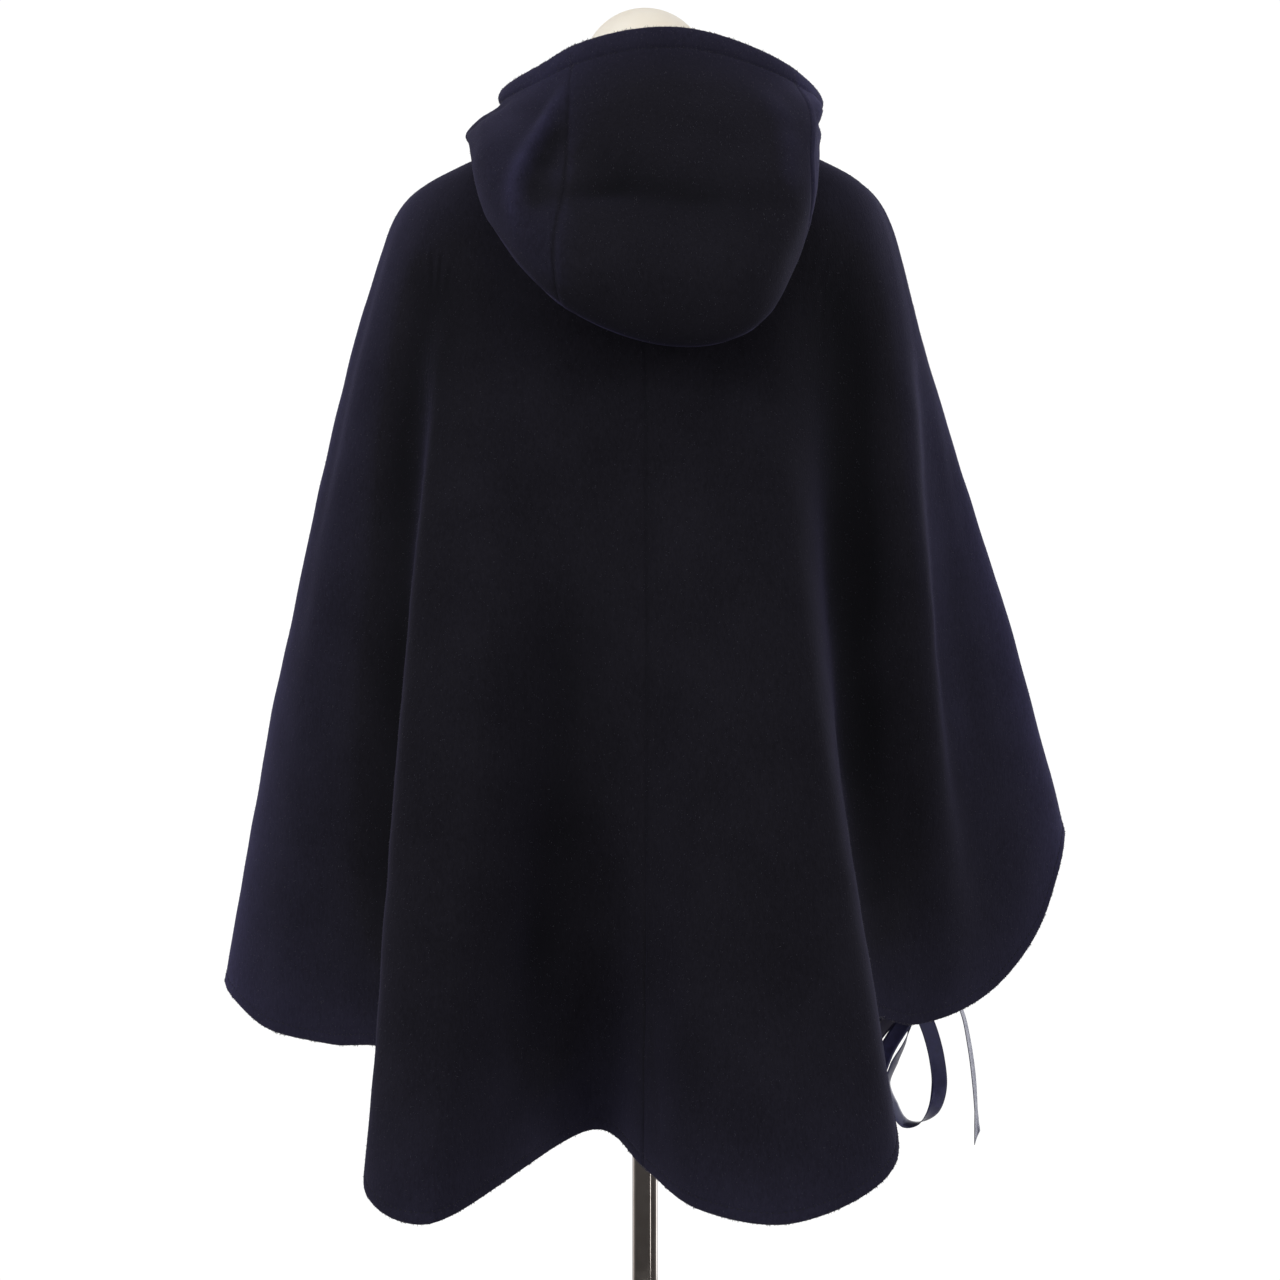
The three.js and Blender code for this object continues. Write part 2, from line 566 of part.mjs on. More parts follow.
const poleZ = baseHeight + seamGap;
const poleLength = flangeZ - seamGap - poleZ;
turned('pole', [[0, 0], [poleRadius, 0], [poleRadius, poleLength], [0, poleLength]], 24, chrome, poleZ);

const hubBore = poleRadius + seamGap;
const hubRadius = 24;
const hubHeight = 30;
turned('base_hub', [[hubBore, 0], [hubRadius, 0], [hubRadius, 6], [hubRadius - 7, 12],
  [hubRadius - 9, hubHeight], [hubBore, hubHeight], [hubBore, 0]], 32, chrome, poleZ);
turned('base_plate', [[0, 0], [baseRadius - 2, 0], [baseRadius, 3], [baseRadius, 6], [baseRadius - 6, 10],
  [60, baseHeight], [0, baseHeight]], 64, chrome);

export default object;
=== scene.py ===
import bpy
import json
import math
import numpy as np
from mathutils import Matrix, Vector, noise

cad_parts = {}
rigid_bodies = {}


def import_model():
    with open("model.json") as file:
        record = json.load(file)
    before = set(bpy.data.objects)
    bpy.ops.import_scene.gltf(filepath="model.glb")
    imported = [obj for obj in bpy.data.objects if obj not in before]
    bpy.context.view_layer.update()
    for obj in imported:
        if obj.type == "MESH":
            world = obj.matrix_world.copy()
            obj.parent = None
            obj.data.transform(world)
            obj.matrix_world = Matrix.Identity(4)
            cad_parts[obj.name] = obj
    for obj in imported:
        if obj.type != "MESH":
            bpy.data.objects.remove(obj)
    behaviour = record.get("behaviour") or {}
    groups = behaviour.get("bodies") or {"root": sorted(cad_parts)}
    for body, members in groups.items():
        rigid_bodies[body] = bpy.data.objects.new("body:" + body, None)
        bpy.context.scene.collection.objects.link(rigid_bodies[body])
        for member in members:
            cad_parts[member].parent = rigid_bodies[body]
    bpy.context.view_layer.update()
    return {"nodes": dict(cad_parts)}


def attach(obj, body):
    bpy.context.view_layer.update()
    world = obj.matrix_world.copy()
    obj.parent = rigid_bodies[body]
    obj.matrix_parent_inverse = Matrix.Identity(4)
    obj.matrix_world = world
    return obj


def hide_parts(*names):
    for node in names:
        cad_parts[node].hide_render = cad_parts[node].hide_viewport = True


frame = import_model()
mm = 0.001          # tables and sizes below are in millimetres, meshes are in metres
rng = np.random.default_rng(7)


# Helpers for objects, meshes and node trees
def deselectAll():
    for o in bpy.context.scene.objects:
        o.select_set(False)


def makeActive(obj):
    deselectAll()
    obj.select_set(True)
    bpy.context.view_layer.objects.active = obj


def linearOf(hexColour):
    channels = [int(hexColour[i:i + 2], 16) / 255 for i in (1, 3, 5)]
    return [c / 12.92 if c <= 0.04045 else ((c + 0.055) / 1.055) ** 2.4 for c in channels] + [1.0]


def addNode(tree, kind, settings, links=None, ramp=None):
    # Inputs are named with a capital or numbered, settings of the node itself are in small letters
    node = tree.nodes.new(kind)
    for key, value in settings.items():
        if isinstance(key, int) or key[0].isupper():
            node.inputs[key].default_value = value
        else:
            setattr(node, key, value)
    for key, source in (links or {}).items():
        tree.links.new(source, node.inputs[key])
    if ramp:
        while len(node.color_ramp.elements) < len(ramp):
            node.color_ramp.elements.new(0.5)
        for element, (position, colour) in zip(node.color_ramp.elements, ramp):
            element.position = position
            element.color = linearOf(colour)
    return node


def newMaterial(name):
    material = bpy.data.materials.new(name)
    material.use_nodes = True
    tree = material.node_tree
    tree.nodes.clear()
    return material, tree


def finishMaterial(material, tree, settings, links):
    shader = addNode(tree, "ShaderNodeBsdfPrincipled", settings, links)
    addNode(tree, "ShaderNodeOutputMaterial", {}, {"Surface": shader.outputs["BSDF"]})
    return material


def meshObject(name, points, faces, material, uv=None):
    # points in millimetres, faces as a list or rows of corner numbers, uv one pair for each point
    mesh = bpy.data.meshes.new(name)
    corners = faces if isinstance(faces, list) else faces.tolist()
    mesh.from_pydata((np.asarray(points) * mm).tolist(), [], corners)
    mesh.polygons.foreach_set("use_smooth", [True] * len(mesh.polygons))
    if uv is not None:
        corners = np.zeros(len(mesh.loops), np.int32)
        mesh.loops.foreach_get("vertex_index", corners)
        layer = mesh.uv_layers.new(name="run")
        layer.data.foreach_set("uv", np.asarray(uv, np.float32)[corners].ravel())
    mesh.materials.append(material)
    obj = bpy.data.objects.new(name, mesh)
    bpy.context.scene.collection.objects.link(obj)
    return obj


def finishPiece(obj, slot, *nodes):
    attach(obj, "root")
    if nodes:
        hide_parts(*nodes)
    return obj


# Wool melton: woven double-faced, fulled, then brushed. Matt and nearly black. A navy to violet painted
# highlight lies along the wing sides, hems, hood rim and ridges, and painted shade darkens the folds, seams
# and the cloth under the hood's bag.
# Of these colours, the second pair is painted highlight and the darkest is painted shade; plain is the
# level with neither
wool = {"clumps": 2.4, "streaks": 1.1, "shade": 70, "dark": "#0f0e14", "light": "#19181f",
        "paintedHighlight": "#2c2a40", "paintedHighlightPale": "#383653", "sunk": "#08080c", "plain": 0.3,
        "sheen": "#aca3f5", "sheenWeight": 0.09, "sheenRoughness": 0.4, "nap": 0.35}


def woolMelton():
    material, tree = newMaterial("woolMeltonDoubleFaced")
    place = addNode(tree, "ShaderNodeTexCoord", {}).outputs["Object"]
    hang = addNode(tree, "ShaderNodeMapping", {"Scale": (1, 1, 0.4)}, {"Vector": place}).outputs[0]
    clumps = addNode(tree, "ShaderNodeTexNoise", {"Scale": 1 / (wool["clumps"] * mm), "Detail": 3.0,
                     "Roughness": 0.6}, {"Vector": hang})
    streaks = addNode(tree, "ShaderNodeTexNoise", {"Scale": 1 / (wool["streaks"] * mm), "Detail": 2.0,
                      "Roughness": 0.7, "Distortion": 0.6}, {"Vector": hang})
    shade = addNode(tree, "ShaderNodeTexNoise", {"Scale": 1 / (wool["shade"] * mm), "Detail": 2.0},
                    {"Vector": place})
    mottle = addNode(tree, "ShaderNodeMix", {"data_type": "FLOAT", 0: 0.5},
                     {2: clumps.outputs["Fac"], 3: streaks.outputs["Fac"]})
    tone = addNode(tree, "ShaderNodeMix", {"data_type": "FLOAT", 0: 0.3},
                   {2: mottle.outputs[0], 3: shade.outputs["Fac"]})
    colour = addNode(tree, "ShaderNodeValToRGB", {}, {"Fac": tone.outputs[0]},
                     ramp=[(0.38, wool["dark"]), (0.62, wool["light"])])
    # The painted highlight colour, mottled like the cloth
    paintedLight = addNode(tree, "ShaderNodeValToRGB", {}, {"Fac": tone.outputs[0]},
                    ramp=[(0.38, wool["paintedHighlight"]), (0.62, wool["paintedHighlightPale"])])
    # The attribute read here is painted light: above the plain level it mixes in the painted highlight,
    # below it the painted shade
    paintedLightLevel = addNode(tree, "ShaderNodeAttribute", {"attribute_name": "paintedLightLevel"}).outputs["Fac"]
    paintedHighlight = addNode(tree, "ShaderNodeMapRange", {"From Min": wool["plain"], "From Max": 1.0},
                     {"Value": paintedLightLevel})
    paintedShade = addNode(tree, "ShaderNodeMapRange", {"From Min": 0.0, "From Max": wool["plain"], "To Min": 1.0,
                     "To Max": 0.0}, {"Value": paintedLightLevel})
    colour = addNode(tree, "ShaderNodeMix", {"data_type": "RGBA"},
                     {0: paintedHighlight.outputs[0], 6: colour.outputs["Color"], 7: paintedLight.outputs["Color"]})
    colour = addNode(tree, "ShaderNodeMix", {"data_type": "RGBA", 7: linearOf(wool["sunk"])},
                     {0: paintedShade.outputs[0], 6: colour.outputs[2]})
    height = addNode(tree, "ShaderNodeMath", {"operation": "ADD"},
                     {0: clumps.outputs["Fac"], 1: streaks.outputs["Fac"]})
    bump = addNode(tree, "ShaderNodeBump", {"Strength": 0.55, "Distance": wool["nap"] * mm},
                   {"Height": height.outputs[0]})
    return finishMaterial(material, tree,
                          {"Roughness": 0.96, "IOR": 1.5, "Specular IOR Level": 0.12,
                           "Sheen Weight": wool["sheenWeight"], "Sheen Roughness": wool["sheenRoughness"],
                           "Sheen Tint": linearOf(wool["sheen"])},
                          {"Base Color": colour.outputs[2], "Normal": bump.outputs["Normal"]})


# Loose wool fibre and the sewing thread: matt, a little lighter than the cloth. The fibre's lighter colour
# is painted light, for the glow of fuzz lit from behind.
def fibreAndThread(name, colour, sheen):
    material, tree = newMaterial(name)
    place = addNode(tree, "ShaderNodeTexCoord", {}).outputs["Object"]
    patches = addNode(tree, "ShaderNodeTexNoise", {"Scale": 160.0, "Detail": 1.0}, {"Vector": place})
    tone = addNode(tree, "ShaderNodeHueSaturation", {"Color": linearOf(colour)},
                   {"Value": addNode(tree, "ShaderNodeMapRange", {"To Min": 0.6, "To Max": 1.4},
                                     {"Value": patches.outputs["Fac"]}).outputs[0]})
    return finishMaterial(material, tree,
                          {"Roughness": 0.9, "Specular IOR Level": 0.15, "Sheen Weight": sheen},
                          {"Base Color": tone.outputs["Color"]})


# Polyester satin ribbon: long floats run along it, so it glints blue-grey where it turns to the light
satin = {"colour": "#1d1a3a", "rib": 0.9, "roughness": 0.28}


def satinRibbon():
    material, tree = newMaterial("polyesterSatinRibbon")
    along = addNode(tree, "ShaderNodeUVMap", {"uv_map": "run"}).outputs["UV"]
    ribs = addNode(tree, "ShaderNodeTexWave", {"wave_type": "BANDS", "bands_direction": "Y",
                   "Scale": 1 / (satin["rib"] * mm * math.tau) * 2.0, "Distortion": 0.8, "Detail": 1.0},
                   {"Vector": along})
    flaw = addNode(tree, "ShaderNodeTexNoise", {"Scale": 220.0, "Detail": 2.0}, {"Vector": along})
    colour = addNode(tree, "ShaderNodeValToRGB", {}, {"Fac": flaw.outputs["Fac"]},
                     ramp=[(0.3, "#141228"), (0.7, satin["colour"])])
    rough = addNode(tree, "ShaderNodeMapRange", {"To Min": satin["roughness"] - 0.05, "To Max": 0.42},
                    {"Value": flaw.outputs["Fac"]})
    bump = addNode(tree, "ShaderNodeBump", {"Strength": 0.25, "Distance": 0.08 * mm},
                   {"Height": ribs.outputs["Fac"]})
    return finishMaterial(material, tree,
                          {"IOR": 1.55, "Anisotropic": 0.5, "Sheen Weight": 0.15,
                           "Specular IOR Level": 0.7, "Specular Tint": linearOf("#c9ccff")},
                          {"Base Color": colour.outputs["Color"], "Roughness": rough.outputs[0],
                           "Normal": bump.outputs["Normal"]})


# Horn-look resin button: cast, turned and polished, with faint brown streaks in near black
def hornResin():
    material, tree = newMaterial("polishedHornResin")
    place = addNode(tree, "ShaderNodeTexCoord", {}).outputs["Object"]
    grain = addNode(tree, "ShaderNodeMapping", {"Scale": (1, 1, 0.25)}, {"Vector": place}).outputs[0]
    streaks = addNode(tree, "ShaderNodeTexNoise", {"Scale": 420.0, "Detail": 4.0, "Distortion": 1.5},
                      {"Vector": grain})
    colour = addNode(tree, "ShaderNodeValToRGB", {}, {"Fac": streaks.outputs["Fac"]},
                     ramp=[(0.4, "#0d0c10"), (0.75, "#2a2320")])
    rough = addNode(tree, "ShaderNodeMapRange", {"To Min": 0.22, "To Max": 0.38},
                    {"Value": streaks.outputs["Fac"]})
    return finishMaterial(material, tree, {"IOR": 1.54},
                          {"Base Color": colour.outputs["Color"], "Roughness": rough.outputs[0]})


# Cotton jersey cover, knitted fine and pulled tight over foam: matt cream with a faint knit
jersey = {"stitch": 1.6, "cream": "#fdf6e8", "shade": "#f2e7d2"}


def coverJersey():
    material, tree = newMaterial("cottonJerseyCover")
    place = addNode(tree, "ShaderNodeTexCoord", {}).outputs["Object"]
    knit = addNode(tree, "ShaderNodeTexWave", {"wave_type": "BANDS", "bands_direction": "Z",
                   "Scale": 0.31 / (jersey["stitch"] * mm), "Distortion": 1.2, "Detail": 1.0,
                   "Detail Scale": 3.0}, {"Vector": place})
    patches = addNode(tree, "ShaderNodeTexNoise", {"Scale": 14.0, "Detail": 3.0}, {"Vector": place})
    colour = addNode(tree, "ShaderNodeValToRGB", {}, {"Fac": patches.outputs["Fac"]},
                     ramp=[(0.3, jersey["shade"]), (0.65, jersey["cream"])])
    bump = addNode(tree, "ShaderNodeBump", {"Strength": 0.25, "Distance": 0.15 * mm},
                   {"Height": knit.outputs["Fac"]})
    return finishMaterial(material, tree,
                          {"Roughness": 0.8, "Sheen Weight": 0.2, "Specular IOR Level": 0.3},
                          {"Base Color": colour.outputs["Color"], "Normal": bump.outputs["Normal"]})


# Chrome plate on drawn steel: mirror bright, with fine handling marks
def chromePlate():
    material, tree = newMaterial("chromePlatedSteel")
    place = addNode(tree, "ShaderNodeTexCoord", {}).outputs["Object"]
    marks = addNode(tree, "ShaderNodeTexNoise", {"Scale": 35.0, "Detail": 5.0, "Roughness": 0.7},
                    {"Vector": place})
    rough = addNode(tree, "ShaderNodeMapRange", {"From Min": 0.35, "From Max": 0.75,
                    "To Min": 0.05, "To Max": 0.12}, {"Value": marks.outputs["Fac"]})
    colour = addNode(tree, "ShaderNodeValToRGB", {}, {"Fac": marks.outputs["Fac"]},
                     ramp=[(0.3, "#b3a9a2"), (0.7, "#c2bab4")])
    return finishMaterial(material, tree, {"Metallic": 1.0},
                          {"Base Color": colour.outputs["Color"], "Roughness": rough.outputs[0]})


# Plain seamless studio paper for the floor
def studioPaper():
    material, tree = newMaterial("studioPaper")
    place = addNode(tree, "ShaderNodeTexCoord", {}).outputs["Object"]
    grain = addNode(tree, "ShaderNodeTexNoise", {"Scale": 60.0, "Detail": 3.0}, {"Vector": place})
    colour = addNode(tree, "ShaderNodeValToRGB", {}, {"Fac": grain.outputs["Fac"]},
                     ramp=[(0.3, "#dcdbd9"), (0.7, "#e2e1df")])
    return finishMaterial(material, tree, {"Roughness": 0.85},
                          {"Base Color": colour.outputs["Color"]})


materials = {"wool": woolMelton(), "fibre": fibreAndThread("looseWoolFibre", "#2b2839", 0.2),
             "thread": fibreAndThread("spunPolyesterThread", "#17171c", 0.1), "satin": satinRibbon(),
             "horn": hornResin(), "cream": coverJersey(), "chrome": chromePlate(), "paper": studioPaper()}
print("materials made")


# The cape's drape, as cut in the frame: each line starts on the neckline at an angle (0 is the nape, +90
# the wearer's left), leaves the shoulder at the yoke (x, y), passes the waist (x, y), ends at the hem
# (x, y, z). Lines run from the under edge round the wearer's left, the back and the right to the over edge.
cape = {"yokeZ": 1300, "waistZ": 1000, "collarZ": 1438, "collarDrop": 66, "collarDip": 3.2,
        "collarBack": 76, "collarFront": 86, "crest": (0.55, 0.17), "corner": (0.8, 0.35),
        "leftDrop": 6, "leftDropFrom": 80, "leftDropTo": 170, "thickness": 2.6, "seamGap": 0.3,
        "cornerTrims": ((5, 0.14, 3.5), (21, 0.18, 3.0)),
        "lapTuck": {"underEdge": 7, "leftCentre": 5}}
drapeColumns = ("line", "neck", "yoke", "waist", "hem")
drapeLines = [dict(zip(drapeColumns, row)) for row in [
    ("underEdge", 188, (-26, -134), (-26, -180), (-26, -208, 630)),
    ("leftCentre", 168, (44, -132), (48, -182), (54, -214, 628)),
    ("leftFrontValley", 150, (92, -118), (108, -152), (116, -168, 650)),
    ("leftFrontLobe", 128, (146, -92), (188, -148), (214, -214, 674)),
    ("leftFrontSide", 108, (198, -54), (266, -102), (312, -160, 694)),
    ("leftSide", 90, (231, -8), (304, -28), (357, -60, 729)),
    ("leftWing", 75, (222, 32), (282, 30), (316, 4, 699)),
    ("leftWingNear", 62, (206, 58), (238, 68), (258, 46, 690)),
    ("leftValley", 50, (186, 82), (197, 102), (204, 96, 688)),
    ("leftRidge", 36, (158, 104), (184, 174), (215, 204, 593)),
    ("leftLobe", 22, (112, 119), (132, 192), (168, 246, 577)),
    ("backValley", 8, (46, 128), (52, 158), (37, 100, 628)),
    ("centreBack", -2, (0, 130), (-1, 160), (1, 150, 605)),
    ("rightLobeStart", -12, (-36, 128), (-42, 176), (-42, 224, 584)),
    ("rightLobe", -24, (-66, 124), (-84, 190), (-112, 246, 578)),
    ("rightRidge", -38, (-98, 118), (-127, 178), (-194, 192, 614)),
    ("rightValley", -54, (-156, 90), (-160, 92), (-181, 72, 712)),
    ("rightWingNear", -66, (-190, 62), (-196, 68), (-222, 22, 703)),
    ("rightArmRidge", -76, (-209, 34), (-235, 44), (-262, -8, 711)),
    ("rightArmDent", -82, (-216, 14), (-242, 12), (-300, -38, 732)),
    ("rightArm", -88, (-222, -6), (-287, -22), (-338, -70, 779)),
    ("rightSide", -96, (-220, -30), (-319, -56), (-361, -104, 856)),
    ("rightFrontSide", -112, (-190, -62), (-272, -118), (-312, -180, 788)),
    ("rightFrontLobe", -130, (-142, -94), (-186, -156), (-206, -224, 672)),
    ("rightFrontValley", -150, (-88, -120), (-102, -158), (-108, -178, 640)),
    ("centreOver", -180, (0, -139), (0, -186), (0, -216, 628)),
    ("overEdge", -190, (26, -139), (26, -186), (26, -215, 629)),
]]
lineNumber = {row["line"]: i for i, row in enumerate(drapeLines)}


def smoothstep(low, high, x):
    t = np.clip((x - low) / (high - low), 0, 1)
    return t * t * (3 - 2 * t)


def unit(vectors):
    return vectors / np.maximum(np.linalg.norm(vectors, axis=-1, keepdims=True), 1e-9)


def throughPoints(points, at):
    # Centripetal Catmull-Rom curves: points is (rows, curves, 3), and at says where on each curve, by row
    at = np.clip(np.asarray(at, float), 0, len(points) - 1)
    start = np.minimum(at.astype(int), len(points) - 2)
    t = (at - start)[:, None]
    ends = np.concatenate([[2 * points[0] - points[1]], points, [2 * points[-1] - points[-2]]])
    curve = np.arange(len(at)) if points.shape[1] > 1 else np.zeros(len(at), int)
    a, b, c, d = (ends[start + k, curve] for k in range(4))
    ab, bc, cd = (np.sqrt(np.linalg.norm(q - p, axis=1, keepdims=True)) + 1e-9
                  for p, q in ((a, b), (b, c), (c, d)))
    leave = ((b - a) / ab - (c - a) / (ab + bc) + (c - b) / bc) * bc
    arrive = ((c - b) / bc - (d - b) / (bc + cd) + (d - c) / cd) * bc
    return (b + t * (leave + t * (-3 * b + 3 * c - 2 * leave - arrive
                                  + t * (2 * b - 2 * c + leave + arrive))))


def neckPoint(angle, sunk):
    a = np.radians(angle)
    front = (1 - np.cos(a)) / 2
    radius = cape["collarBack"] + (cape["collarFront"] - cape["collarBack"]) * front - sunk
    z = cape["collarZ"] - cape["collarDrop"] * front ** cape["collarDip"] - sunk
    return np.array([radius * np.sin(a), radius * np.cos(a), z])


def capeRings():
    tuck = [cape["lapTuck"].get(row["line"], 0) for row in drapeLines]
    neck = np.array([neckPoint(row["neck"], t * math.sqrt(0.5)) for row, t in zip(drapeLines, tuck)])

    def across(key, height):
        # The ring through one point of every line, with the under lap tucked in
        return np.array([(*row[key], height)[:3] for row in drapeLines]) + [(0, t, 0) for t in tuck]
    yoke, waist, hem = across("yoke", cape["yokeZ"]), across("waist", cape["waistZ"]), across("hem", None)
    rings = [neck]
    for out, down in (cape["crest"], cape["corner"]):
        ring = neck + (yoke - neck) * out
        ring[:, 2] = neck[:, 2] + (yoke[:, 2] - neck[:, 2]) * down
        ring[:, 2] -= cape["leftDrop"] * smoothstep(cape["leftDropFrom"], cape["leftDropTo"], ring[:, 0])
        rings.append(ring)
    return [ring[:, None, :].astype(float) for ring in rings + [yoke, waist, hem]]


rings = capeRings()
capeLast = len(rings) - 1


def capeColumns(us):
    # The six points of each drape line: neckline, crest, corner, yoke, waist, hem
    return np.stack([throughPoints(ring, us) for ring in rings])


def capeSurface(u, v):
    return throughPoints(capeColumns(u), v)


def surfaceNormal(surface, u, v, side, lastU, lastV):
    step = 1e-3
    alongU = surface(np.minimum(u + step, lastU), v) - surface(np.maximum(u - step, 0), v)
    alongV = surface(u, np.minimum(v + step, lastV)) - surface(u, np.maximum(v - step, 0))
    return unit(np.cross(alongU, alongV) * side)


# The lowered hood: each section goes from the neck seam under the bag and up its outside to the rim.
# fold, belly, crease, upper and rim are distances from the neck's axis, angle and rimAngle as above.
hood = {"belly": 0.17, "crease": 0.45, "upper": 0.72, "turned": 0.9, "turnedReach": 0.75, "bagReach": 0.75,
        "clearance": 2.7, "restLevel": 2.1, "under": (0.3, 0.65, 1.0), "creaseTwist": 0.1,
        "upperTwist": 0.45, "turnedTwist": 0.85, "thickness": 2.6, "rimThickness": 4.4}
sectionColumns = ("angle", "rimAngle", "fold", "foldZ", "belly", "crease", "upper", "rim", "rimZ")
hoodSections = [dict(zip(sectionColumns, row)) for row in [
    (165, 163, 90, 1388, 93, 95, 94, 92, 1416),
    (135, 138, 102, 1412, 110, 112, 109, 104, 1440),
    (92, 104, 134, 1423, 143, 135, 117, 115, 1470),
    (62, 80, 156, 1414, 163, 150, 126, 118, 1475),
    (38, 58, 190, 1340, 200, 187, 134, 100, 1489),
    (19, 40, 196, 1278, 219, 177, 130, 90, 1502),
    (-4, -6, 188, 1248, 222, 188, 142, 92, 1513),
    (-24, -42, 200, 1260, 223, 197, 152, 98, 1508),
    (-42, -70, 184, 1330, 194, 185, 162, 126, 1489),
    (-62, -87, 155, 1412, 160, 154, 150, 145, 1468),
    (-92, -108, 132, 1428, 138, 139, 135, 132, 1456),
    (-135, -140, 102, 1412, 110, 112, 109, 106, 1438),
    (-165, -163, 90, 1388, 93, 95, 94, 92, 1416),
]]
hoodLeftSeam, hoodRightSeam = 5, 8
hoodLastSection = len(hoodSections) - 1
hoodLast = 9


def turningPoints(low, high, count, test):
    # Where, between low and high, a falling test turns from true to false, for many cases at once
    low, high = np.full(count, float(low)), np.full(count, float(high))
    for _ in range(20):
        middle = (low + high) / 2
        passes = test(middle)
        low, high = np.where(passes, middle, low), np.where(passes, high, middle)
    return low


def onCape(angle, v, clearance):
    # Points on the cape at angles round the neck, moved out by a clearance
    def before(u):
        point = capeSurface(u, v)
        reached = np.degrees(np.arctan2(point[:, 0], point[:, 1]))
        wraps = np.where(u < lineNumber["centreBack"], reached < -90, reached > 90)
        return np.where(wraps, reached - 360 * np.sign(reached), reached) > angle
    u = turningPoints(0, len(drapeLines) - 1, len(angle), before)
    normal = surfaceNormal(capeSurface, u, v, -1, len(drapeLines) - 1, capeLast)
    return capeSurface(u, v) + normal * clearance


def capeLevelAt(angle, radius):
    def inside(v):
        point = onCape(angle, v, 0)
        return np.hypot(point[:, 0], point[:, 1]) < radius
    return turningPoints(0, capeLast, len(angle), inside)


def polar(radius, angle, z):
    return np.stack([radius * np.sin(np.radians(angle)), radius * np.cos(np.radians(angle)), z], axis=1)


def rowsBetween(table, u):
    # Rows of a table between its rows, each number on a smooth curve through its column
    last = len(table) - 1
    start = np.minimum(np.floor(u).astype(int), last - 1)
    t = u - start
    found = {}
    for key in table[0]:
        column = np.array([row[key] for row in table], float)
        a, b, c, d = (column[np.clip(start + k, 0, last)] for k in (-1, 0, 1, 2))
        found[key] = b + t / 2 * (c - a + t * (2 * a - 5 * b + 4 * c - d + t * (3 * (b - c) + d - a)))
    return found


def hoodPoints(us):
    s = rowsBetween(hoodSections, us)
    depth = s["rimZ"] - s["foldZ"]
    still = np.zeros(len(us))
    neck = onCape(s["angle"], still, 2 * cape["seamGap"])
    neckRadius = np.hypot(neck[:, 0], neck[:, 1])
    reach = neckRadius + (s["fold"] - neckRadius) * hood["bagReach"]
    rest = np.minimum(hood["restLevel"], capeLevelAt(s["angle"], reach))
    under = [onCape(s["angle"], share * rest, hood["clearance"]) for share in hood["under"]]
    beneath = onCape(s["angle"], capeLevelAt(s["angle"], s["fold"]), hood["clearance"])

    def rise(share):
        return s["foldZ"] + depth * share

    def twist(share):
        return s["angle"] + (s["rimAngle"] - s["angle"]) * share
    turned = s["upper"] + (s["rim"] - s["upper"]) * hood["turnedReach"]
    return np.stack([neck, *under, polar(s["fold"], s["angle"], np.maximum(s["foldZ"], beneath[:, 2])),
                     polar(s["belly"], s["angle"], rise(hood["belly"])),
                     polar(s["crease"], twist(hood["creaseTwist"]), rise(hood["crease"])),
                     polar(s["upper"], twist(hood["upperTwist"]), rise(hood["upper"])),
                     polar(turned, twist(hood["turnedTwist"]), rise(hood["turned"])),
                     polar(s["rim"], s["rimAngle"], s["rimZ"])])


hoodStations = np.linspace(0, hoodLastSection, hoodLastSection * 4 + 1)
hoodStationPoints = hoodPoints(hoodStations)


def hoodColumns(us):
    # Read between stations four to a section, on a smooth curve through each of their points
    return np.stack([throughPoints(row[:, None, :], np.asarray(us) * 4) for row in hoodStationPoints])


print("drape worked out")

# Creases: path is (line or section number, level), width and height in millimetres; a
# negative height is a trough. They fade at both ends and waver a little in depth.
# A trough also gets painted shade, and a ridge a painted highlight, in the cloth's colour
creaseColumns = ("path", "width", "height")
capeCreases = [dict(zip(creaseColumns, row)) for row in [
    ([(8.6, 2.7), (8.35, 3.3), (8.2, 3.8), (8.1, 4.3), (8.0, 4.8)], 34, -10.5),
    ([(16.1, 2.6), (16.1, 3.3), (16.2, 3.8), (16.3, 4.2), (16.35, 4.7)], 38, -11.0),
    ([(18.1, 2.7), (17.8, 3.35), (17.85, 3.7), (18.15, 3.95), (18.6, 4.15)], 6, 0.8),
    ([(19.1, 2.7), (19.05, 3.4), (19.1, 4.0), (19.3, 4.6)], 20, 4.0),
    ([(11.0, 3.8), (10.8, 4.3), (10.65, 4.6), (10.7, 4.9)], 34, -5.0),
    ([(12.12, 4.7), (12.22, 4.85), (12.28, 4.97)], 4.5, -0.7),
    ([(2.1, 3.4), (2.0, 4.2), (2.0, 4.8)], 26, -4.0),
    ([(3.4, 2.8), (3.3, 3.8), (3.2, 4.6)], 14, 2.2),
    ([(24.0, 3.2), (24.1, 4.1), (24.0, 4.8)], 28, -4.0),
    ([(22.7, 2.8), (22.8, 3.7), (22.9, 4.5)], 15, 2.4),
    ([(5.6, 2.4), (5.7, 3.3), (5.7, 4.0)], 13, -2.2),
]]
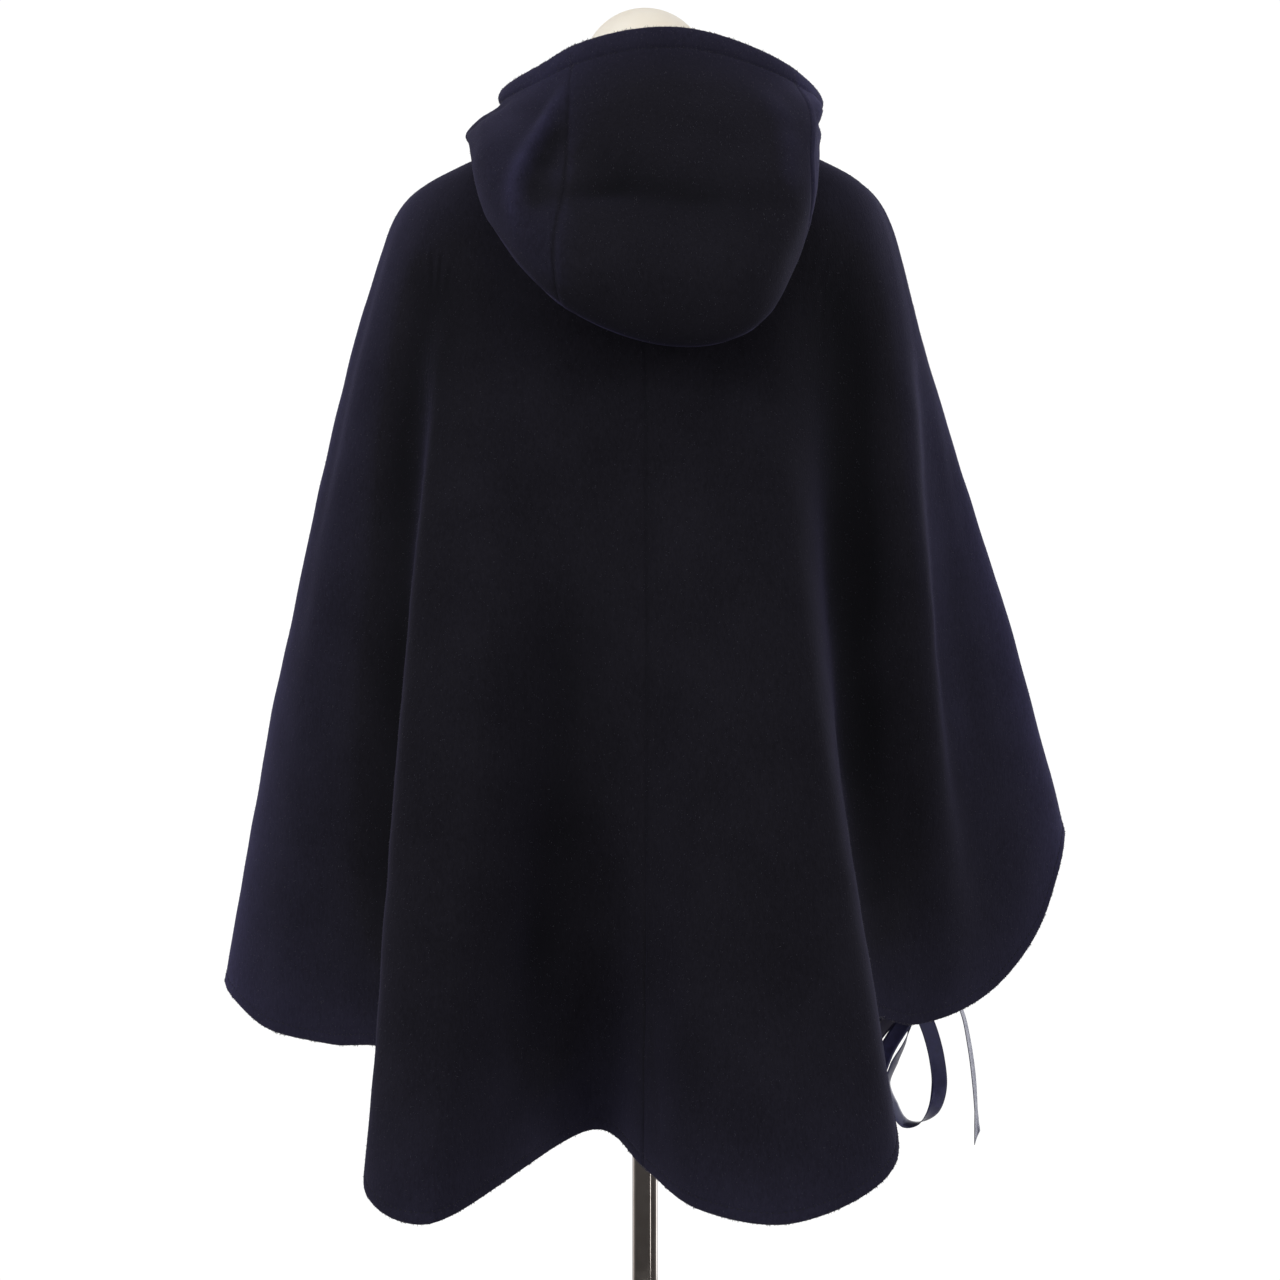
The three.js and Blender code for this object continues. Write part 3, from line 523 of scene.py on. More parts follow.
hoodCreases = [dict(zip(creaseColumns, row)) for row in [
    ([(4.95, 7.6), (4.7, 7.1), (4.5, 6.45), (4.42, 6.0), (4.38, 5.6), (4.5, 5.0)], 5.8, 5.4),
    ([(4.93, 7.0), (4.78, 6.4), (4.68, 5.95), (4.72, 5.5)], 9, -5.0),
    ([(4.5, 5.6), (5.0, 5.85), (5.6, 6.03), (6.2, 6.0), (6.9, 5.9), (7.6, 5.65)], 15, -3.8),
    ([(5.2, 5.3), (6.2, 5.4), (7.2, 5.2)], 22, 0.8),
    ([(5.1, 6.5), (5.5, 6.3), (6.1, 6.25)], 22, -2.6),
    ([(7.3, 7.5), (7.5, 6.8), (7.55, 6.2), (7.45, 5.5)], 11, 2.2),
    ([(8.4, 8.0), (8.6, 7.2), (8.6, 6.4)], 8, 2.4),
    ([(2.6, 5.2), (3.0, 6.2), (3.2, 7.2)], 12, -3.0),
    ([(9.6, 5.4), (9.7, 6.4), (9.6, 7.4)], 12, -2.4),
    ([(5.06, 7.9), (5.07, 6.6), (5.07, 5.4), (5.04, 4.3)], 2.6, 1.5),
    ([(8.08, 8.0), (8.09, 6.8), (8.08, 5.4), (8.05, 4.3)], 2.6, 1.5),
]]


def creaseLift(points, creases, columns):
    lift = np.zeros(points.shape[:2])
    for index, crease in enumerate(creases):
        path = np.array([(u, v, 0.0) for u, v in crease["path"]])[:, None, :]
        steps = np.linspace(0, len(path) - 1, 40)
        run = throughPoints(path, steps)
        line = throughPoints(columns(run[:, 0]), run[:, 1])
        if np.linalg.norm(points.reshape(-1, 1, 3)[::7] - line[None], axis=2).min() > 4 * crease["width"]:
            continue
        gaps = np.linalg.norm(points[:, :, None, :] - line, axis=3)
        nearest = gaps.argmin(axis=2)
        t = nearest / (len(steps) - 1)
        fade = np.sin(np.pi * np.clip(t * 0.96 + 0.02, 0, 1)) ** 0.7
        waver = 1 + 0.3 * np.sin(5.1 * t * np.pi + index) * np.cos(2.3 * t * np.pi + 2 * index)
        lift += crease["height"] * fade * waver * np.exp(-(gaps.min(axis=2) / crease["width"]) ** 2)
    return lift


def softUnevenness(points, wide, fine):
    # The cloth's own unevenness: wide soft swells and a little finer ripple, in millimetres
    flat = points.reshape(-1, 3) * mm
    swell = [noise.noise(Vector(p) / 0.11) * wide + noise.noise(Vector(p) / 0.034) * fine for p in flat]
    return np.array(swell).reshape(points.shape[:2])


# Sewing, in millimetres: the seams sink a little, with painted shade along them, and the hem is turned and
# stitched. A trough as deep as fullFold gets the full painted shade.
sewing = {"spacing": 6.5, "seamSink": 0.55, "seamWidth": 2.0, "seamShade": 0.07, "hemLine": 9,
          "hemGroove": 0.32, "grooveWidth": 1.3, "hemPuff": 0.25, "rimLine": 20, "rimGroove": 0.7,
          "rimPuff": 2.3, "stitch": 4.6, "hoodSpacing": 4.5, "fullFold": 7, "overSeam": 0.03}
seamSteps = [0, 0.5, 1.2, 2.2, 3.5, 5.5, 9]
hemSteps = [0, 0.2, 0.55, 1.1, 2.2, 4, 6, 7.6, 8.4, 9, 9.6, 10.5, 12, 15]
rimSteps = [0, 0.3, 0.8, 1.6, 3, 5, 8, 12, 15.5, 17.5, 19, 20, 21, 22.5, 25, 29]
plainSteps = [0, 3]


def runSteps(total, spacing, first, last):
    low, high = first[-1], total - last[-1]
    inner = np.linspace(low, high, max(2, round((high - low) / spacing)) + 1)
    return np.concatenate([first[:-1], inner, [total - d for d in reversed(last[:-1])]])


def lengthsAlong(points, axis):
    steps = np.linalg.norm(np.diff(points, axis=axis), axis=-1)
    start = np.zeros_like(np.take(steps, [0], axis=axis))
    return np.concatenate([start, np.cumsum(steps, axis=axis)], axis=axis)


def panelShape(spec):
    # The panel's surface on a grid whose rows and columns lie closer at seams and hems
    dense = np.linspace(spec["from"], spec["to"], 500)
    reference = throughPoints(spec["columns"](dense), np.full(len(dense), spec["referenceLevel"]))
    run = lengthsAlong(reference, 0)
    us = np.interp(runSteps(run[-1], spec["spacing"], spec["firstSteps"], spec["lastSteps"]), run, dense)
    # One more column past each seam, so that the two sewn panels have the same normals there
    sewnFirst, sewnLast = spec["seams"]
    us = np.concatenate([[2 * us[0] - us[1]] * sewnFirst, us, [2 * us[-1] - us[-2]] * sewnLast])
    control = spec["columns"](us)
    levels = np.linspace(0, spec["lastLevel"], 400)
    lengths = lengthsAlong(np.stack([throughPoints(control, np.full(len(us), v)) for v in levels]), 0)
    total = lengths[-1] - sum(deep * np.exp(-((us - at) / wide) ** 2) for at, wide, deep in spec["trims"])
    fromEnd = total.mean() - runSteps(total.mean(), spec["spacing"], plainSteps, spec["endSteps"])
    zone = spec["endSteps"][-1]
    stretch = (total - zone) / (total.mean() - zone)
    points, ends, reached = [], [], []
    for d in fromEnd:
        toEnd = np.where(d <= zone, d, zone + (d - zone) * stretch)
        v = np.array([np.interp(total[k] - toEnd[k], lengths[:, k], levels) for k in range(len(us))])
        points.append(throughPoints(control, v))
        ends.append(toEnd)
        reached.append(v)
    points = np.array(points)
    normals = unit(np.cross(np.gradient(points, axis=1), np.gradient(points, axis=0)) * spec["side"])
    own = slice(int(sewnFirst), len(us) - int(sewnLast))
    points = points[:, own]
    along = lengthsAlong(points, 1)
    return {"points": points, "normals": normals[:, own], "toEnd": np.array(ends)[:, own],
            "level": np.array(reached)[:, own], "toFirst": along, "toLast": along[:, -1:] - along}


def clothPanel(spec):
    s = panelShape(spec)
    points, normals = s["points"], s["normals"]
    lift = creaseLift(points, spec["creases"], spec["columns"]) * spec["calm"](points, s)
    # Painted light: lighter on ridges and wherever the panel's share asks (painted highlight), darker in
    # troughs (painted shade)
    paintedLightLevel = np.clip(spec["paintedLightLevel"](s) + spec["ridgeHighlight"] * np.clip(lift / 5, 0, 1), -1, 1)
    paintedLightLevel = wool["plain"] + np.where(paintedLightLevel > 0, 1 - wool["plain"], wool["plain"]) * paintedLightLevel
    paintedLightLevel -= wool["plain"] * np.clip(-lift / sewing["fullFold"], 0, 1)
    lift += softUnevenness(points, *spec["unevenness"]) * spec["calm"](points, s)
    free = s["toEnd"].copy()
    for sewn, distance in ((spec["seams"][0], s["toFirst"]), (spec["seams"][1], s["toLast"])):
        if sewn:
            inRim = 1 - 0.7 * smoothstep(24, 18, s["toEnd"]) * (spec["endLine"] == sewing["rimLine"])
            lift -= sewing["seamSink"] * inRim * np.exp(-(distance / sewing["seamWidth"]) ** 2)
            # Painted shade along the sunk seam
            paintedLightLevel -= sewing["seamShade"] * inRim * np.exp(-(distance / sewing["seamWidth"]) ** 2)
        elif spec["endLine"] == sewing["hemLine"]:
            free = np.minimum(free, distance)
    line = spec["endLine"]
    stitches = 0.75 + 0.25 * np.cos(math.tau * s["toFirst"] / sewing["stitch"])
    lift -= spec["groove"] * stitches * np.exp(-((free - line) / sewing["grooveWidth"]) ** 2)
    lift += spec["puff"] * np.sin(np.pi * np.clip(free / line, 0, 1)) ** 0.6
    thickness = spec["thickness"](s)
    radius = thickness / 2
    near = np.clip(radius - s["toEnd"], 0, None)
    if not all(spec["seams"]):
        free = np.minimum(s["toEnd"], s["toLast"] if spec["seams"][0] else s["toFirst"])
        near = np.clip(radius - free, 0, None)
    rounded = 0.84 * (radius - np.sqrt(np.maximum(radius ** 2 - near ** 2, 0)))
    outer = points + normals * (lift - rounded)[..., None]
    inner = points + normals * (lift - thickness + rounded)[..., None]
    for layer in (outer, inner):
        if spec["seams"][0]:
            layer[:, 0] -= unit(layer[:, 1] - layer[:, 0]) * sewing["overSeam"]
        if spec["seams"][1]:
            layer[:, -1] -= unit(layer[:, -2] - layer[:, -1]) * sewing["overSeam"]
    rows, columns = points.shape[:2]
    number = np.arange(rows * columns).reshape(rows, columns)
    back = number + rows * columns
    faces = []
    for grid, turn in ((number, 1), (back, -1)):
        quads = np.stack([grid[:-1, :-1], grid[:-1, 1:], grid[1:, 1:], grid[1:, :-1]], axis=-1)
        faces.append(quads.reshape(-1, 4)[:, ::turn * spec["side"]])
    rim = np.concatenate([number[0, :], number[1:, -1], number[-1, -2::-1], number[-2:0:-1, 0]])
    behind = rim + rows * columns
    around = np.stack([np.roll(rim, -1), rim, behind, np.roll(behind, -1)], axis=1)
    faces.append(around[:, ::spec["side"]])
    uv = np.stack([s["toFirst"], s["toEnd"]], axis=-1).reshape(-1, 2) * mm
    obj = meshObject(spec["name"], np.concatenate([outer.reshape(-1, 3), inner.reshape(-1, 3)]),
                     np.concatenate(faces), materials["wool"], np.concatenate([uv, uv]))
    layer = obj.data.attributes.new("paintedLightLevel", "FLOAT", "POINT")
    layer.data.foreach_set("value", np.tile(paintedLightLevel.ravel(), 2).astype(np.float32))
    s.update(outer=outer, normals=normals, object=obj, spec=spec)
    return s


# Tufts of nap, lengths and half widths in millimetres: on the face, at the free edge and in the band by it
tuft = {"faceLength": (0.6, 1.8), "faceThick": (0.09, 0.16), "edgeLength": (0.3, 1),
        "edgeThick": (0.2, 0.42), "bandLength": (0.5, 1.5), "bandThick": (0.12, 0.2), "root": 0.3}


def napOver(panel, perArea, alongEdge, edgeLength, bandTufts, name):
    # Tufts of the brushed nap, sparse on the face and thick on the free edge. Real fibres are too fine to
    # show at this distance, so each tuft is drawn as one spike, as coarse as a few dozen of them.
    outer, normals = panel["outer"], panel["normals"]
    first = outer[:-1, :-1]
    cells = np.linalg.norm(np.cross(outer[1:, :-1] - first, outer[:-1, 1:] - first), axis=2)
    cells = cells * panel["spec"]["shows"](first)
    chosen = rng.choice(cells.size, int(cells.sum() * perArea), p=(cells / cells.sum()).ravel())
    r, c = np.unravel_index(chosen, cells.shape)
    a, b = rng.random((2, len(r), 1))
    roots = [(outer[r, c] * (1 - a) + outer[r + 1, c] * a) * (1 - b)
             + (outer[r, c + 1] * (1 - a) + outer[r + 1, c + 1] * a) * b]
    away = [normals[r, c]]
    down = [unit(outer[r + 1, c] - outer[r, c])]
    length = [rng.uniform(*tuft["faceLength"], (len(r), 1))]
    thick = [rng.uniform(*tuft["faceThick"], (len(r), 1))]
    edge = lengthsAlong(outer[-1], 0)[-1]
    count = int(edge * alongEdge)
    at = rng.uniform(0, outer.shape[1] - 1.001, count)
    k, t = at.astype(int), (at % 1)[:, None]
    row = rng.integers(-4, 0, count)
    roots.append(outer[row, k] * (1 - t) + outer[row, k + 1] * t)
    away.append(unit(outer[-1, k] - outer[-6, k]))
    down.append(normals[-1, k] * rng.uniform(-0.5, 0.9, (count, 1)))
    clump = 0.55 + 0.45 * np.sin(at * 2.1 + 2 * np.sin(at * 0.83))[:, None]
    length.append(rng.uniform(*tuft["edgeLength"], (count, 1)) * edgeLength * (0.4 + clump))
    thick.append(rng.uniform(*tuft["edgeThick"], (count, 1)))
    band = rng.choice(np.arange(-len(panel["spec"]["endSteps"]), -1), int(edge * bandTufts))
    at = rng.uniform(0, outer.shape[1] - 1.001, len(band))
    k, t, q = at.astype(int), (at % 1)[:, None], rng.random((len(band), 1))
    roots.append((outer[band, k] * (1 - t) + outer[band, k + 1] * t) * (1 - q) + outer[band + 1, k] * q)
    away.append(normals[band, k] + unit(outer[-1, k] - outer[-6, k]) * 0.5)
    down.append(rng.normal(0, 0.6, (len(band), 3)))
    length.append(rng.uniform(*tuft["bandLength"], (len(band), 1)))
    thick.append(rng.uniform(*tuft["bandThick"], (len(band), 1)))
    roots, away, down, length, thick = (np.concatenate(x) for x in (roots, away, down, length, thick))
    lean = unit(away * rng.uniform(0.5, 1.1, length.shape) + down * rng.uniform(0.1, 1.0, length.shape)
                + rng.normal(0, 0.35, roots.shape))
    side = unit(np.cross(lean, rng.normal(0, 1, roots.shape)))
    other = np.cross(lean, side)
    corners = [roots - lean * tuft["root"] + thick * (side * math.cos(q) + other * math.sin(q))
               for q in (0, math.tau / 3, 2 * math.tau / 3)]
    points = np.stack([*corners, roots + lean * length], axis=1).reshape(-1, 3)
    base = np.arange(len(roots))[:, None] * 4
    spike = np.array([(0, 1, 3), (1, 2, 3), (2, 0, 3), (2, 1, 0)])
    return meshObject(name, points, (base[:, :, None] + spike[None]).reshape(-1, 3), materials["fibre"])


def stitchModel():
    # One sewn stitch: a short thread that dips into the cloth at both ends
    bpy.ops.object.select_all(action="DESELECT")
    bpy.ops.mesh.primitive_uv_sphere_add(segments=6, ring_count=5, radius=1)
    obj = bpy.context.object
    bpy.ops.object.mode_set(mode="EDIT")
    bpy.ops.mesh.select_all(action="SELECT")
    bpy.ops.transform.resize(value=(0.36 * sewing["stitch"], 0.34, 0.34))
    bpy.ops.object.mode_set(mode="OBJECT")
    points = np.array([v.co for v in obj.data.vertices])
    points[:, 2] -= 0.5 * (points[:, 0] / (0.36 * sewing["stitch"])) ** 2
    faces = [tuple(f.vertices) for f in obj.data.polygons]
    bpy.data.objects.remove(obj)
    return points, faces


stitchPoints, stitchFaces = stitchModel()


def stitchRow(line, normals, name, seat):
    # Copies of the stitch along a line on the cloth, joined as one piece
    lengths = lengthsAlong(line, 0)
    at = np.arange(sewing["stitch"], lengths[-1] - sewing["stitch"], sewing["stitch"])
    def read(values):
        return np.stack([np.interp(at, lengths, values[:, k]) for k in range(3)], axis=1)
    middle, out = read(line), unit(read(normals))
    along = unit(np.stack([np.gradient(middle[:, k]) for k in range(3)], axis=1))
    across = unit(np.cross(out, along))
    out = np.cross(along, across)
    along = unit(along + across * rng.normal(0, 0.06, (len(at), 1)))
    placed = (middle[:, None] + along[:, None] * stitchPoints[None, :, :1]
              + across[:, None] * stitchPoints[None, :, 1:2]
              + out[:, None] * (stitchPoints[None, :, 2:] + seat))
    faces = [tuple(i * len(stitchPoints) + k for k in f) for i in range(len(at)) for f in stitchFaces]
    return meshObject(name, placed.reshape(-1, 3), faces, materials["thread"])


def lineInside(panel, distance):
    # The line on the outer face at a distance from the free end, and the normals there
    row = np.abs(panel["toEnd"].mean(axis=1) - distance).argmin()
    return panel["outer"][row], panel["normals"][row]


def frontLineInside(panel, distances, distance):
    points, normals = [], []
    for row in range(panel["outer"].shape[0] - 8):
        k = np.abs(distances[row] - distance).argmin()
        points.append(panel["outer"][row, k])
        normals.append(panel["normals"][row, k])
    return np.array(points[12:]), np.array(normals[12:])


# Cape panels. cut is the flat width and length and the area of each, in metres
def capeCalm(points, s):
    # Still where the cloth lies on the shoulders and under the hood
    return smoothstep(1405, 1330, points[..., 2]) * smoothstep(0, 60, s["toEnd"] + 30)


# How strong the painted light is at the most, and how far from there it fades, in millimetres: painted
# highlight along the sides, hems, rim and ridges, painted shade under the hood's bag
paintedLight = {"side": 0.78, "sideReach": 55, "sideEdge": 0.4, "sideEdgeReach": 14, "hem": 0.26, "hemReach": 60,
         "rim": 0.42, "rimReach": 40, "hoodSeamReach": 26, "paintedShadeUnderBag": 0.6, "underLevels": (4.7, 3.9),
         "capeRidges": 0.2, "hoodRidges": 0.42}


def capePaintedLight(sideFirst):
    # Painted highlight: most along the side seam, down the wing's outer fold, and a little along the hem
    def paintedLightLevel(s):
        toSide = s["toFirst"] if sideFirst else s["toLast"]
        return sum(paintedLight[key] * np.exp(-distance / paintedLight[key + "Reach"])
                   for key, distance in (("side", toSide), ("sideEdge", toSide), ("hem", s["toEnd"])))
    return paintedLightLevel


capePanels = [
    dict(name="capeFrontLeft", node="front_left", first="underEdge", last="leftSide", seams=(False, True),
         cut=(0.52, 0.80, 0.287)),
    dict(name="capeBackLeft", node="back_left", first="leftSide", last="centreBack", seams=(True, True),
         cut=(0.60, 0.86, 0.342)),
    dict(name="capeBackRight", node="back_right", first="centreBack", last="rightSide", seams=(True, True),
         cut=(0.60, 0.86, 0.332)),
    dict(name="capeFrontRight", node="front_right", first="rightSide", last="overEdge", seams=(True, False),
         cut=(0.52, 0.80, 0.263)),
]
madeCape = []
for panel in capePanels:
    spec = dict(panel, columns=capeColumns, side=-1, lastLevel=capeLast, referenceLevel=4.6,
                spacing=sewing["spacing"], endSteps=hemSteps, endLine=sewing["hemLine"],
                firstSteps=seamSteps if panel["seams"][0] else hemSteps,
                lastSteps=seamSteps if panel["seams"][1] else hemSteps,
                groove=sewing["hemGroove"], puff=sewing["hemPuff"], creases=capeCreases, calm=capeCalm,
                unevenness=(1.8, 0.8), trims=cape["cornerTrims"], ridgeHighlight=paintedLight["capeRidges"],
                paintedLightLevel=capePaintedLight(panel["first"].endswith("Side")),
                thickness=lambda s: np.full(s["toEnd"].shape, cape["thickness"]),
                shows=lambda p: (p[..., 2] < 1425).astype(float))
    spec["from"], spec["to"] = lineNumber[panel["first"]], lineNumber[panel["last"]]
    made = clothPanel(spec)
    rows = [stitchRow(*lineInside(made, sewing["hemLine"]), panel["name"] + "HemStitches", 0.1)]
    if not panel["seams"][0]:
        rows.append(stitchRow(*frontLineInside(made, made["toFirst"], sewing["hemLine"]),
                              panel["name"] + "EdgeStitches", 0.1))
    if not panel["seams"][1]:
        rows.append(stitchRow(*frontLineInside(made, made["toLast"], sewing["hemLine"]),
                              panel["name"] + "EdgeStitches", 0.1))
    nap = napOver(made, 0.035, 1.6, 1.7, 0.6, panel["name"] + "Nap")
    finishPiece(made["object"], "wool", panel["node"])
    for extra in rows + [nap]:
        finishPiece(extra, "wool")
    madeCape.append(made)
    print("sewn", panel["name"], made["outer"].shape[:2])


# Hood panels
def hoodCalm(points, s):
    # Still under the bag, where the hood lies on the cape, and at the two front ends
    outside = smoothstep(330, 240, s["toEnd"])
    return outside * smoothstep(-70, -20, points[..., 1]) * smoothstep(0, 25, s["toEnd"])


def hoodPaintedLight(middle, atFirst, atLast):
    # Painted light: one share over the panel, others at its first and last seam, more along the rim as
    # painted highlight, and painted shade where the cloth turns under the bag
    def paintedLightLevel(s):
        nearFirst, nearLast = (np.exp(-s[key] / paintedLight["hoodSeamReach"]) for key in ("toFirst", "toLast"))
        seams = (atFirst - middle) * nearFirst + (atLast - middle) * nearLast
        paintedShade = paintedLight["paintedShadeUnderBag"] * smoothstep(*paintedLight["underLevels"], s["level"])
        return middle + seams + paintedLight["rim"] * np.exp(-s["toEnd"] / paintedLight["rimReach"]) - paintedShade
    return paintedLightLevel


def hoodThickness(s):
    return hood["thickness"] + (hood["rimThickness"] - hood["thickness"]) * smoothstep(24, 16, s["toEnd"])


# Each hood panel's painted light, over the panel, at its first seam and at its last seam: the right panel,
# turned away, is painted much lighter, and the centre darker in its middle
hoodPanels = [
    dict(name="hoodLeft", node="hood_left", first=0, last=hoodLeftSeam, seams=(False, True),
         paintedLightShares=(0.24, 0.24, 0.12), cut=(0.30, 0.34, 0.055)),
    dict(name="hoodCentre", node="hood_centre", first=hoodLeftSeam, last=hoodRightSeam, seams=(True, True),
         paintedLightShares=(-0.1, 0.12, 0.2), cut=(0.24, 0.50, 0.099)),
    dict(name="hoodRight", node="hood_right", first=hoodRightSeam, last=hoodLastSection,
         seams=(True, False), paintedLightShares=(0.9, 0.3, 0.9), cut=(0.26, 0.24, 0.028)),
]
madeHood = []
for panel in hoodPanels:
    spec = dict(panel, columns=hoodColumns, side=1, lastLevel=hoodLast, referenceLevel=5.0,
                spacing=sewing["hoodSpacing"], endSteps=rimSteps, endLine=sewing["rimLine"],
                firstSteps=seamSteps, lastSteps=seamSteps, groove=sewing["rimGroove"],
                puff=sewing["rimPuff"], creases=hoodCreases, calm=hoodCalm, unevenness=(2.2, 0.9),
                trims=((0, 1, 0),), ridgeHighlight=paintedLight["hoodRidges"], paintedLightLevel=hoodPaintedLight(*panel["paintedLightShares"]),
                thickness=hoodThickness, shows=lambda p: np.ones(p.shape[:-1]))
    spec["from"], spec["to"] = panel["first"], panel["last"]
    made = clothPanel(spec)
    stitches = stitchRow(*lineInside(made, sewing["rimLine"]), panel["name"] + "RimStitches", 0.1)
    nap = napOver(made, 0.036, 2.4, 2.5, 4.0, panel["name"] + "Nap")
    finishPiece(made["object"], "wool", panel["node"])
    for extra in (stitches, nap):
        finishPiece(extra, "wool")
    madeHood.append(made)
    print("sewn", panel["name"], made["outer"].shape[:2])


# Satin tie: the ribbons' routes, as in the frame. turn is the angle of the flat side about the run
ribbon = {"width": 13, "thickness": 0.5, "step": 0.06, "across": 7, "selvedge": 0.12}
ribbonRoutes = {
    "tieFrontLoop": [(-229, 4, 713.4, 8), (-237, -2, 694, 8), (-243, -7, 671, 6), (-245, -9, 648, 0),
                     (-240, -10, 628, -38), (-228, -11, 617.5, -90), (-216, -11, 618, -124),
                     (-207, -10, 632, -130), (-202, -9, 650, -112), (-207.5, -7, 668, -120),
                     (-216, -4, 686, -104), (-223, 1, 713, -70)],
    "tieHiddenLoop": [(-221, 8.5, 713.4, 4), (-212, 8, 700, 6), (-201, 7, 682, 6), (-190, 6, 656, 0),
                      (-179, 4, 640, -12), (-170, -1, 646, -40), (-179, -4, 670, -60),
                      (-206, -1, 708, -40), (-214, 1.5, 716, -20)],
    "tieFreeEnd": [(-231.9, -0.5, 722.5, -84), (-245, -15, 727, -84), (-258, -28, 722, -78),
                   (-267, -36, 706, -74), (-273, -40, 680, -71), (-277, -42, 652, -70),
                   (-279, -42, 624, -74), (-280, -42, 600.5, -62)],
}
ribbonNodes = {"tieFrontLoop": "tie_front_loop", "tieHiddenLoop": "tie_hidden_loop",
               "tieFreeEnd": "tie_free_end"}


def ribbonLine(route, steps):
    places = np.array([p[:3] for p in route], float)[:, None, :]
    turns = np.radians([p[3] for p in route])
    line = throughPoints(places, steps)
    run = unit(throughPoints(places, steps + 0.05) - throughPoints(places, steps - 0.05))
    turn = np.interp(steps, np.arange(len(route)), turns)[:, None]
    across = unit(np.cross(run, (0, 1, 0)))
    across = (across * np.cos(turn) + np.cross(run, across) * np.sin(turn)
              + run * np.sum(run * across, axis=1, keepdims=True) * (1 - np.cos(turn)))
    return line, unit(across), unit(np.cross(run, across))


def ribbonPiece(name, route, cutEnd=0.0):
    steps = np.arange(0, len(route) - 1 + ribbon["step"] / 2, ribbon["step"])
    line, across, face = ribbonLine(route, np.clip(steps, 0, len(route) - 1))
    run = unit(np.gradient(line, axis=0))
    lengths = lengthsAlong(line, 0)
    shares = np.linspace(-1, 1, ribbon["across"])
    cup = 0.5 * (1 - shares ** 2)            # the ribbon is cupped a little across its width
    half, thick = ribbon["width"] / 2, ribbon["thickness"] / 2
    slant = smoothstep(lengths[-1] - 14, lengths[-1], lengths)[:, None, None] * cutEnd
    middle = line[:, None] + across[:, None] * (shares * half)[None, :, None] \
        + face[:, None] * cup[None, :, None] + run[:, None] * slant * shares[None, :, None]
    edge = thick * (1 + ribbon["selvedge"] * (np.abs(shares) > 0.9))[None, :, None]
    top, bottom = middle + face[:, None] * edge, middle - face[:, None] * edge
    ring = np.concatenate([top, bottom[:, ::-1]], axis=1)
    count, around = ring.shape[:2]
    number = np.arange(count * around).reshape(count, around)
    right = np.roll(number, -1, axis=1)
    faces = np.stack([number[:-1], right[:-1], right[1:], number[1:]], axis=-1).reshape(-1, 4).tolist()
    faces.append(number[0, ::-1].tolist())
    faces.append(number[-1].tolist())
    across01 = np.concatenate([shares, shares[::-1]]) * half
    uv = np.stack([np.tile(across01, (count, 1)), np.tile(lengths[:, None], (1, around))], axis=-1)
    uv = uv.reshape(-1, 2) * mm
    return meshObject(name, ring.reshape(-1, 3), faces, materials["satin"], uv), lengths[-1]


knot = {"middle": (-225.6, 6.2, 722), "size": (9.4, 6.4, 8.4)}


def knotPiece():
    # The knot: a small core with the ribbon wound round it, so that folds show on its face
    deselectAll()
    bpy.ops.mesh.primitive_uv_sphere_add(segments=32, ring_count=20, radius=1)
    obj = bpy.context.object
    obj.name = "tieKnot"
    points = np.array([v.co for v in obj.data.vertices])
    around = np.arctan2(points[:, 2], points[:, 0])
    pleat = 1 + 0.07 * np.cos(7 * around + 3 * points[:, 1]) + 0.05 * np.cos(3 * around - 5 * points[:, 1])
    waist = 1 - 0.16 * np.exp(-((points[:, 0] + 0.2 * points[:, 2]) / 0.28) ** 2)
    points = points * (pleat * waist)[:, None] * np.array(knot["size"]) + np.array(knot["middle"])
    obj.data.vertices.foreach_set("co", (points * mm).ravel())
    obj.data.polygons.foreach_set("use_smooth", [True] * len(obj.data.polygons))
    obj.data.uv_layers[0].name = "run"
    obj.data.materials.append(materials["satin"])
    return obj


tieKnot = finishPiece(knotPiece(), "satin", "tie_knot")
for name, route in ribbonRoutes.items():
    piece, length = ribbonPiece(name, route, 5.0 if name == "tieFreeEnd" else 0.0)
    finishPiece(piece, "satin", ribbonNodes[name])
    print("ribbon", name, round(float(length)), "mm")


# Buttons: turned, dished and drilled with four holes, then sewn on with crossed thread
button = {"radius": 14, "height": 4.2, "rim": 2.6, "dish": 1.2, "hole": 1.15, "holeSpread": 2.7,
          "top": 1290, "pitch": 125, "count": 4, "seat": 0.36}


